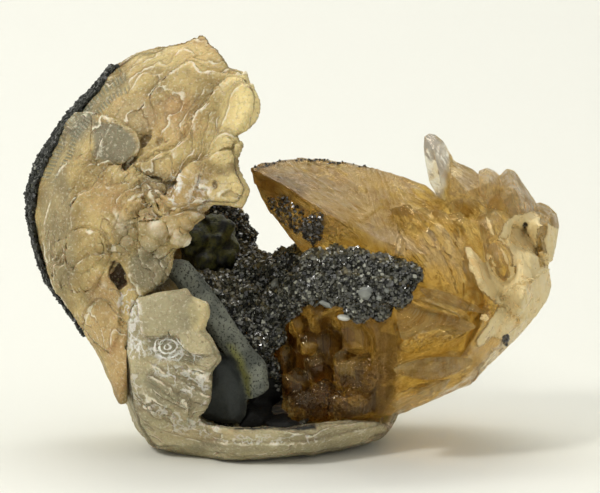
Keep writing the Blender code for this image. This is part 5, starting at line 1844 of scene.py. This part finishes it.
@dataclass
class CalciteMass:
    """The grown calcite: its clear body, the milky layer at its end and the dark specks caught on it."""

    node: str = "calcite_crystals"
    longest_edge: float = 0.3
    pocket_rounds: int = 60
    end_rounds: int = 160
    pocket_calm: float = 0.7
    milk_from: float = 0.68
    layer_depth: float = 0.8
    layer_proud: float = 0.04
    speck_from: float = 0.62
    speck_count: int = 1500
    honey: CalciteFinish = CalciteFinish(
        "honey_calcite", (0.97, 0.77, 0.29), (0.64, 0.39, 0.075), (0.90, 0.72, 0.38), 0.78,
        absorbed=(0.91, 0.71, 0.08), density=28.0, relief=0.22,
    )
    milky: CalciteFinish = CalciteFinish(
        "milky_calcite", (1.0, 0.79, 0.40), (0.92, 0.57, 0.18), (1.0, 0.83, 0.45), 0.34, roughness=0.12,
        streak_spacing=1.3, relief=0.2, planes=0.55, crack=(0.74, 0.50, 0.22), glint_share=0.5,
    )
    amber: CalciteFinish = CalciteFinish(
        "amber_calcite", (0.97, 0.75, 0.27), (0.70, 0.42, 0.09), (0.92, 0.76, 0.40), 0.8, roughness=0.05,
        streak_spacing=0.5, relief=0.4, planes=0.3, crack_share=0.0, glint_share=1.0,
    )

    def striae(self, skin: CarvedSkin) -> np.ndarray:
        """A coordinate across the crystals' fine lines, turned from place to place.

        Args:
            skin: The calcite's mesh.

        Returns:
            A distance in millimetres for each point.
        """
        x, v = skin.flat[:, 0], skin.flat[:, 1]
        lean = math.radians(38)
        spear = (v - 45.0) * math.cos(lean) + x * math.sin(lean)
        fan = np.hypot(x - 8.0, (v - 18.0) * 0.85)
        chevron = 0.8 * x + np.abs(v - 23.3) * 1.5
        share_fan = smooth_step(12.0, 22.0, x)
        mixed = spear * (1.0 - share_fan) + fan * share_fan
        share_chevron = smooth_step(17.0, 20.0, x) * (1.0 - smooth_step(34.0, 37.0, x))
        share_chevron *= 1.0 - smooth_step(28.0, 31.0, v)
        mixed = mixed * (1.0 - share_chevron) + chevron * share_chevron
        share_pocket = (1.0 - smooth_step(26.0, 29.0, v)) * (1.0 - smooth_step(16.0, 19.0, x))
        return mixed * (1.0 - share_pocket) + x * share_pocket

    def frayed_milk(self, skin: CarvedSkin, growth: np.ndarray) -> np.ndarray:
        """The mark of milk with its border frayed along the crystals' lines.

        Args:
            skin: The calcite's mesh.
            growth: The coordinate across the lines.

        Returns:
            The value at each point.
        """
        milk = skin.marks[Mark.MILK]
        border = 1.0 - smooth_step(0.72, 0.95, milk)
        fringe = np.sin(2.3 * growth + 1.5 * rough_noise(skin.points, 4.0, 31, 3)) * skin.facing
        return milk + (0.3 * rough_noise(skin.points, 1.6, 21, 3) + 0.24 * fringe) * border

    def build(self, effects: SharedEffects, room: Room) -> list[Piece]:
        """Carves and dresses the calcite.

        Args:
            effects: The shared node groups.
            room: The box that the skin stays inside.

        Returns:
            The pieces.
        """
        skin = FacetedSkin(self.node, self.longest_edge, 1)
        growth = self.striae(skin)
        pocket = share_inside(skin.flat, POCKET, 1.2) * skin.facing
        skin.even_out(0.5 * pocket, self.pocket_rounds)
        skin.even_out(0.5 * share_inside(skin.flat, SOFT_END, 1.5), self.end_rounds)
        heights = 0.14 * rough_noise(skin.points, 2.0, 9, 3) - 0.08
        for pitch, depth in ((1.1, 0.12), (2.7, 0.24)):
            phase = (growth + 1.4 * rough_noise(skin.points, 6.0, 3, 3)) / pitch
            strength = smooth_step(-0.4, 0.4, value_noise(skin.points, 3.0 * pitch, 7))
            heights += depth * (1.0 - (phase - np.floor(phase))) * strength
        heights *= 1.0 - self.pocket_calm * pocket
        for blade in CALCITE_BLADES:
            signed, left = blade.side(skin.flat)
            heights += blade.height(signed, left) * skin.facing
        skin.add_mark(Mark.GROWTH, growth)
        skin.start_marks(*CALCITE_MARKS)
        skin.lift(heights)
        skin.patch(CALCITE_PATCHES)
        skin.held_inside(room)
        back = 1.1 * (1.0 - skin.facing) * smooth_step(30.0, 36.0, skin.flat[:, 0] - 0.1 * skin.flat[:, 1])
        skin.add_mark(Mark.MILK, back)
        clear = share_inside(skin.flat, CLEAR_UPRIGHT, 0.8) * (1.0 - skin.facing)
        skin.add_mark(Mark.CLEAR, clear)
        milky = self.frayed_milk(skin, growth) > self.milk_from
        pieces = [skin.build("calcite_body", self.honey.material(effects))]
        finish = self.milky.material(effects)
        pieces.append(skin_patch("milky_layer", skin, milky, self.layer_depth, self.layer_proud, finish))
        loops = [tuple(face.vertices) for face in skin.mesh.polygons]
        tree = BVHTree.FromPolygons([Vector(point) for point in skin.points.tolist()], loops)
        amber_blades = BladePlates("amber_blades", AMBER_BLADES)
        pieces.append(amber_blades.build(tree, self.amber.material(effects), self.node, room))
        rng = np.random.default_rng(5)
        speck = np.flatnonzero(skin.marks[Mark.DIRT_AND_SHADOW] * rng.random(len(skin.points)) > self.speck_from)
        speck = speck[:: max(1, len(speck) // self.speck_count)]
        finish = GrainFinish("dark_specks", (0.014, 0.010, 0.006), (0.055, 0.042, 0.022))
        pieces.append(GrainShape(0.22, 0.55).joined("dark_specks", skin, finish, speck, 7))
        return pieces


CUBE_SIDES = np.array(((0, 1, 3, 2), (4, 6, 7, 5), (0, 4, 5, 1), (2, 3, 7, 6), (0, 2, 6, 4), (1, 5, 7, 3)))


@dataclass(frozen=True)
class GrainShape:
    """Small leaning rhombs, with a smallest and a largest size in millimetres."""

    smallest: float
    largest: float
    rarity: float = 2.2
    shade_power: float = 1.8
    stretch: float = 0.5
    raised: float = 0.12

    def corners(self) -> np.ndarray:
        """Corners of one rhomb of unit size.

        Returns:
            One row for each of the eight corners.
        """
        cube = np.array(list(itertools.product((-0.5, 0.5), repeat=3)))
        lean = np.array(((1.0, 0.18, 0.12), (0.0, 1.0, 0.2), (0.0, 0.0, 1.1)))
        return cube @ lean

    def joined(
        self, name: str, skin: CarvedSkin, finish: GrainFinish, pick: np.ndarray, seed: int
    ) -> Piece:
        """Joined crystals standing on chosen points of a skin.

        Args:
            name: Name of the piece.
            skin: The skin's mesh.
            finish: The finish of these crystals.
            pick: Indices of the points that carry one crystal each.
            seed: Number that picks their turns and sizes.

        Returns:
            The piece.
        """
        rng = np.random.default_rng(seed)
        turns = np.linalg.qr(rng.normal(size=(len(pick), 3, 3)))[0]
        turns *= np.sign(np.linalg.det(turns))[:, None, None]
        sizes = self.smallest + (self.largest - self.smallest) * rng.random(len(pick)) ** self.rarity
        stretch = 1.0 + self.stretch * (rng.random((len(pick), 1, 3)) - 0.5)
        shapes = self.corners()[None] * stretch * sizes[:, None, None]
        shapes = np.einsum("nij,nkj->nki", turns, shapes)
        centres = skin.points[pick] + skin.normals[pick] * (sizes * self.raised)[:, None]
        corners = (shapes + centres[:, None]).reshape(-1, 3)
        faces = (CUBE_SIDES[None] + np.arange(len(pick))[:, None, None] * 8).reshape(-1, 4)
        mesh = bpy.data.meshes.new(name)
        mesh.from_pydata((corners * MM).tolist(), [], faces.tolist())
        write_mark(mesh, Mark.SHADE, np.repeat(rng.random(len(pick)) ** self.shade_power, 8))
        mesh.materials.append(finish.material())
        return dressed(bpy.data.objects.new(name, mesh), skin.node)


@dataclass(frozen=True)
class Inclusion:
    """A single larger stone caught in a crust: a worn crystal, or a smooth pebble."""

    x: float
    v: float
    width: float
    height: float
    turn: float
    smooth: bool = False
    thickness: float = 1.8

    def add_to(self, soup: bmesh.types.BMesh, place: np.ndarray, seed: int) -> None:
        """Adds the stone to a mesh.

        Args:
            soup: The mesh, in millimetres.
            place: Where the stone's middle lies.
            seed: Number that picks its dents.
        """
        made = bmesh.ops.create_icosphere(soup, subdivisions=3 if self.smooth else 1, radius=0.5)["verts"]
        flat = math.radians(self.turn)
        rng = np.random.default_rng(seed)
        for vert in made:
            dent = 1.0 if self.smooth else float(rng.uniform(0.82, 1.08))
            x = vert.co.x * self.width * dent
            depth = vert.co.y * self.thickness * dent
            v = vert.co.z * self.height * dent
            across = x * math.cos(flat) - v * math.sin(flat)
            vert.co = Vector((across, depth, x * math.sin(flat) + v * math.cos(flat))) + Vector(place)


@dataclass(frozen=True)
class GrainCrust:
    """A crust of small crystals over a solid."""

    node: str
    base: StoneFinish
    dark_grains: GrainFinish
    pale_grains: GrainFinish
    shape: GrainShape
    count: int
    pale_share: float
    seed: int
    bare: Corners = ()
    stones: tuple[Inclusion, ...] = ()
    tinted_grains: GrainFinish | None = None
    sunk: float = 0.1
    rim_centre: tuple[float, float] = (-22.0, 40.0)
    rim_width: float = 0.0
    rim_bareness: float = 0.93
    border: float = 0.4
    tinted_from: float = 0.62
    voxel: float = 0.45
    shade_seed: int = 3
    sectors: int = 240

    def build(self, effects: SharedEffects, room: Room) -> list[Piece]:
        """Builds the crust's base and its crystals.

        Args:
            effects: The shared node groups.
            room: The box that the crust stays inside.

        Returns:
            The pieces.
        """
        skin = CarvedSkin(self.node, self.voxel, 3)
        skin.lift(0.3 * rough_noise(skin.points, 2.2, self.seed, 3) - self.sunk)
        skin.held_inside(room)
        skin.start_marks(Mark.YELLOW, Mark.GREY_AND_SHADOW)
        rng = np.random.default_rng(self.seed)
        clear = (skin.points > room.low + self.border) & (skin.points < room.high - self.border)
        free = np.all(clear, axis=1)
        # The bowl's floor keeps no crystals and is painted near-black as shadow.
        if self.bare:
            bare = share_inside(skin.flat, self.bare, 0.5)
            skin.add_mark(Mark.GREY_AND_SHADOW, bare)
            free &= bare < 0.5
        chance = free * (0.35 + 0.65 * skin.facing)
        if self.rim_width:
            within = self.within_rim(skin)
            skin.add_mark(Mark.YELLOW, within)
            chance *= 1.0 - self.rim_bareness * within
        count = min(self.count, int(free.sum()))
        chosen = rng.choice(len(skin.points), count, replace=False, p=chance / chance.sum())
        split = int(self.count * self.pale_share)
        dark, pale = chosen[split:], chosen[:split]
        pieces = [skin.build(f"{self.node}_base", self.base.material(effects))]
        if self.tinted_grains:
            upward = skin.normals[dark][:, 2] + 0.7 * rough_noise(skin.points[dark], 5.0, 19, 2)
            tinted = upward > self.tinted_from
            name = f"{self.node}_tinted_grains"
            pieces.append(self.shape.joined(name, skin, self.tinted_grains, dark[tinted], self.seed + 2))
            dark = dark[~tinted]
        name = f"{self.node}_dark_grains"
        pieces.append(self.shape.joined(name, skin, self.dark_grains, dark, self.seed))
        name = f"{self.node}_pale_grains"
        pieces.append(self.shape.joined(name, skin, self.pale_grains, pale, self.seed + 1))
        for smooth, name, finish in ((False, "crystals", GREY_CRYSTALS), (True, "pebble", WHITE_PEBBLE)):
            stones = [stone for stone in self.stones if stone.smooth == smooth]
            if stones:
                pieces.append(self.build_stones(f"{self.node}_{name}", skin, stones, finish))
        return pieces

    def build_stones(
        self, name: str, skin: CarvedSkin, stones: list[Inclusion], finish: GrainFinish
    ) -> Piece:
        """The larger stones of one finish.

        Args:
            name: Name of the piece.
            skin: The crust's mesh.
            stones: The stones.
            finish: Their finish.

        Returns:
            The piece.
        """
        soup = bmesh.new()
        for count, stone in enumerate(stones):
            spot = self.nearest(skin, stone.x, stone.v)
            away = DRAWING.flat(skin.points[spot : spot + 1])[0] - np.array((stone.x, stone.v))
            stone.add_to(soup, skin.points[spot] - np.array((away[0], 0.4, away[1])), count)
        mesh = bpy.data.meshes.new(name)
        soup.to_mesh(mesh)
        soup.free()
        mesh.transform(Matrix.Scale(MM, 4))
        write_mark(mesh, Mark.SHADE, np.random.default_rng(self.shade_seed).random(len(mesh.vertices)))
        if stones[0].smooth:
            mesh.shade_smooth()
        mesh.materials.append(finish.material())
        return dressed(bpy.data.objects.new(name, mesh), self.node)

    def within_rim(self, skin: CarvedSkin) -> np.ndarray:
        """How far points lie within the rim that the crystals keep to, as the drawing shows it.

        Args:
            skin: The crust's mesh.

        Returns:
            A share from 0 to 1 for each point.
        """
        away = skin.flat - np.array(self.rim_centre)
        radius = np.hypot(away[:, 0], away[:, 1])
        turn = np.degrees(np.arctan2(away[:, 1], away[:, 0])) / (360 / self.sectors)
        turn = np.floor(turn).astype(int) % self.sectors
        widest = np.zeros(self.sectors)
        np.maximum.at(widest, turn, radius)
        inner = widest[turn] - radius + 0.5 * rough_noise(skin.points, 2.0, 15, 3)
        return smooth_step(self.rim_width - 0.3, self.rim_width + 0.4, inner) * skin.facing

    @staticmethod
    def nearest(skin: CarvedSkin, x: float, v: float) -> int:
        """The front point of a skin that is seen at a place on the drawing."""
        away = np.hypot(skin.flat[:, 0] - x, skin.flat[:, 1] - v) + 0.1 * (skin.points[:, 1] + 30.0)
        return int(np.argmin(np.where(skin.facing > 0.5, away, FAR_AWAY)))


@dataclass(frozen=True)
class PlainBody:
    """A lumpy body of one stone, with patches."""

    node: str
    piece: str
    finish: StoneFinish
    lump_size: float
    lump_height: float
    patches: tuple[Patch, ...] = ()
    voxel: float = 0.4

    def build(self, effects: SharedEffects) -> Piece:
        """Carves and dresses the body.

        Args:
            effects: The shared node groups.

        Returns:
            The piece.
        """
        skin = CarvedSkin(self.node, self.voxel, 4)
        lumps = rough_noise(skin.points, self.lump_size, 77, 3)
        skin.start_marks(Mark.YELLOW, Mark.GREY_AND_SHADOW)
        skin.lift(self.lump_height * lumps)
        skin.patch(self.patches)
        return skin.build(self.piece, self.finish.material(effects))


# The floor of the bowl, where the crust is painted near-black as shadow.
BOWL_FLOOR_SHADOW = ((-10.5, 1.5), (-8.3, 9.1), (-6.5, 12.6), (-3.9, 13.0), (-1.9, 9.1), (1.9, 3.6), (2.7, 1.5))
BLACK_BASE = StoneFinish(
    "black_crust_base", (0.045, 0.045, 0.04), (0.008, 0.008, 0.007), (0.16, 0.15, 0.05), 2.0, 1600.0
)
CRUST_BASE = StoneFinish(
    "back_crust_base", (0.05, 0.05, 0.045), (0.008, 0.008, 0.007), (0.30, 0.30, 0.21), 2.0, 1600.0
)
DARK_GRAINS = GrainFinish("dark_sparkling_grains", (0.010, 0.010, 0.007), (0.078, 0.077, 0.054), 0.16)
CRUST_GRAINS = GrainFinish("dark_crust_grains", (0.006, 0.007, 0.005), (0.032, 0.034, 0.024), 0.3, 0.3)
SILVER_GRAINS = GrainFinish("silver_grains", (0.15, 0.15, 0.12), (0.46, 0.46, 0.38), 0.14)
GREY_CRYSTALS = GrainFinish("grey_crystals", (0.10, 0.105, 0.095), (0.24, 0.25, 0.22), 0.34)
WHITE_PEBBLE = GrainFinish("white_pebble", (0.50, 0.50, 0.44), (0.66, 0.66, 0.60), 0.45)
OLIVE_GRAINS = GrainFinish("olive_brown_grains", (0.022, 0.019, 0.009), (0.15, 0.125, 0.055), 0.25)
DRUSE_STONES = (
    Inclusion(13.9, 29.5, 3.2, 3.0, 20.0),
    Inclusion(6.6, 27.5, 2.9, 1.6, -25.0),
    Inclusion(18.0, 30.0, 1.2, 1.3, 40.0),
    Inclusion(-3.2, 31.0, 1.9, 2.4, 20.0),
    Inclusion(-14.4, 29.8, 1.8, 1.1, -35.0),
    Inclusion(16.5, 28.6, 1.3, 1.1, 10.0),
    Inclusion(9.9, 24.8, 2.4, 1.15, -8.0, True),
)
OLIVE_STONE = StoneFinish(
    "olive_brown_stone", (0.13, 0.13, 0.028), (0.010, 0.011, 0.008), (0.2, 0.18, 0.05), 1.9, 1400.0, 0.45
)
GREY_MUD = StoneFinish(
    "grey_mud", (0.30, 0.31, 0.26), (0.15, 0.16, 0.14), (0.34, 0.33, 0.09), 5.0, 2200.0, 0.75,
    (0.04, 0.045, 0.042),
)
LINING_PATCHES = (
    Region(Mark.GREY_AND_SHADOW, ((-18.2, 5.0), (-15.5, 14.4), (-13.6, 17.6), (-11.5, 17.6), (-9.6, 13.8), (-8.8, 8.8),
        (-9.2, 2.0), (-17.0, 2.6)), 0.97),
    Region(Mark.YELLOW, ((-12.3, 19.6), (-10.7, 18.6), (-7.9, 13.4), (-8.1, 9.1), (-9.2, 9.5), (-9.2, 13.0),
        (-11.5, 17.0)), 0.9),
)


@dataclass(frozen=True)
class SoftLight:
    """A square soft light aimed at the object: its place and width in millimetres, its watts and colour."""

    name: str
    place: Triple
    width: float
    power: float
    tone: Colour

    def add(self) -> None:
        """Adds the light to the scene."""
        data = bpy.data.lights.new(self.name, "AREA")
        data.size = self.width * MM
        data.energy = self.power
        data.color = self.tone
        lamp = bpy.data.objects.new(self.name, data)
        lamp.location = Vector(self.place) * MM
        lamp.rotation_mode = "QUATERNION"
        lamp.rotation_quaternion = (Vector(DRAWING.aim) * MM - lamp.location).to_track_quat("-Z", "Y")
        bpy.context.scene.collection.objects.link(lamp)
        lamp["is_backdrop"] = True


@dataclass(frozen=True)
class Studio:
    """Pale sweep, soft lights and the camera at the photograph's angle."""

    lens: float = 164.2
    sensor: float = 36.0
    reach: float = 900.0
    bend_from: float = 60.0
    bend_radius: float = 240.0
    bend_turns: int = 12
    paper_shade: float = 0.985
    floor_tone: Colour = (0.80, 0.80, 0.745)
    world_tone: Colour = (1.0, 1.0, 0.975)
    world_strength: float = 0.54
    lights: tuple[SoftLight, ...] = (
        SoftLight("top_softbox", (-20.0, 380.0, 540.0), 560.0, 3.9, (1.0, 0.99, 0.95)),
        SoftLight("key_left", (-350.0, -330.0, 460.0), 120.0, 1.75, (1.0, 0.98, 0.93)),
        SoftLight("fill_right", (330.0, -300.0, 330.0), 240.0, 0.22, (1.0, 0.98, 0.94)),
        SoftLight("backdrop_light", (0.0, 60.0, 700.0), 500.0, 0.72, (1.0, 1.0, 0.97)),
    )

    def build_sweep(self) -> None:
        """Lays a floor that curves up into a backdrop, which a camera behind it sees through."""
        profile = [(-self.reach, 0.0), (self.bend_from, 0.0)]
        for turn in range(1, self.bend_turns + 1):
            angle = turn / self.bend_turns * math.pi / 2
            rise = self.bend_radius * (1.0 - math.cos(angle))
            profile.append((self.bend_from + self.bend_radius * math.sin(angle), rise))
        profile.append((self.bend_from + self.bend_radius, self.reach))
        mesh = bpy.data.meshes.new("studio_sweep")
        rows = [[(side * self.reach * MM, y * MM, z * MM) for y, z in profile] for side in (-1, 1)]
        count = len(profile)
        faces = [(n, count + n, count + n + 1, n + 1) for n in range(count - 1)]
        mesh.from_pydata(rows[0] + rows[1], [], faces)
        mesh.shade_smooth()
        material, board, shader = new_material("pale_paper", Roughness=0.75, Specular_IOR_Level=0.15)
        shade = tuple(self.paper_shade * tone for tone in self.floor_tone)
        board.feed(shader.inputs["Base Color"], board.mix(board.noise(1.2, 3.0), self.floor_tone, shade))
        camera_ray = board.add("LightPath").outputs["Is Camera Ray"]
        hidden = board.times(camera_ray, board.add("NewGeometry").outputs["Backfacing"])
        seen = board.add("MixShader")
        board.feed(seen.inputs[0], hidden)
        board.feed(seen.inputs[1], shader.outputs[0])
        board.feed(seen.inputs[2], board.add("BsdfTransparent").outputs[0])
        board.feed(material.node_tree.nodes["Material Output"].inputs["Surface"], seen.outputs[0])
        mesh.materials.append(material)
        sweep = bpy.data.objects.new("studio_sweep", mesh)
        bpy.context.scene.collection.objects.link(sweep)
        sweep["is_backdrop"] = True

    def build_camera(self) -> None:
        """The camera, standing where the drawing's lines of sight meet."""
        data = bpy.data.cameras.new("photo_camera")
        data.lens = self.lens
        data.sensor_width = self.sensor
        data.clip_start = 0.01
        data.clip_end = 10.0
        camera = bpy.data.objects.new("photo_camera", data)
        camera.location = Vector(DRAWING.eye) * MM
        camera.rotation_mode = "QUATERNION"
        camera.rotation_quaternion = (Vector(DRAWING.aim) - Vector(DRAWING.eye)).to_track_quat("-Z", "Y")
        bpy.context.scene.collection.objects.link(camera)
        bpy.context.scene.camera = camera

    def build(self) -> None:
        """Sets up the floor, the lights, the world and the camera."""
        scene = bpy.context.scene
        world = bpy.data.worlds.new("studio_world")
        world.use_nodes = True
        background = world.node_tree.nodes["Background"]
        background.inputs["Color"].default_value = (*self.world_tone, 1.0)
        background.inputs["Strength"].default_value = self.world_strength
        scene.world = world
        scene.view_settings.view_transform = "Standard"
        self.build_sweep()
        for light in self.lights:
            light.add()
        self.build_camera()


def main() -> None:
    """Builds every piece over the frame, then the studio."""
    logging.basicConfig(level=logging.INFO, format="%(message)s")
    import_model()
    cad_low, cad_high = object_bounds()
    room = Room(np.array(cad_low) / MM, np.array(cad_high) / MM)
    effects = SharedEffects()
    ShellValve(
        "upper_valve", "upper_valve_sheets", CREAM_SHELL, UPPER_LEDGES, UPPER_PATCHES, knobs=UPPER_KNOBS,
        ribs=UPPER_RIBS,
    ).build(effects, room)
    ShellValve(
        "lower_valve", "lower_valve_sheets", CHALKY_SHELL, LOWER_LEDGES, LOWER_PATCHES,
        rings=(Rings(-23.9, 19.0, 3.2, 1.1),),
    ).build(effects, room)
    CalciteMass().build(effects, room)
    GrainCrust(
        "dark_druse", BLACK_BASE, DARK_GRAINS, SILVER_GRAINS, GrainShape(0.26, 0.66), count=16000,
        pale_share=0.1, seed=41, bare=BOWL_FLOOR_SHADOW, stones=DRUSE_STONES, tinted_grains=OLIVE_GRAINS,
    ).build(effects, room)
    GrainCrust(
        "outer_crust", CRUST_BASE, CRUST_GRAINS, SILVER_GRAINS, GrainShape(0.28, 0.66), count=12000,
        pale_share=0.015, seed=43, sunk=0.42, rim_width=0.6,
    ).build(effects, room)
    PlainBody("dark_nodule", "dark_nodule_lumps", OLIVE_STONE, 2.2, 0.8).build(effects)
    PlainBody("grey_lining", "grey_lining_band", GREY_MUD, 2.2, 0.22, LINING_PATCHES).build(effects)
    Studio().build()


if __name__ == "__main__":
    main()
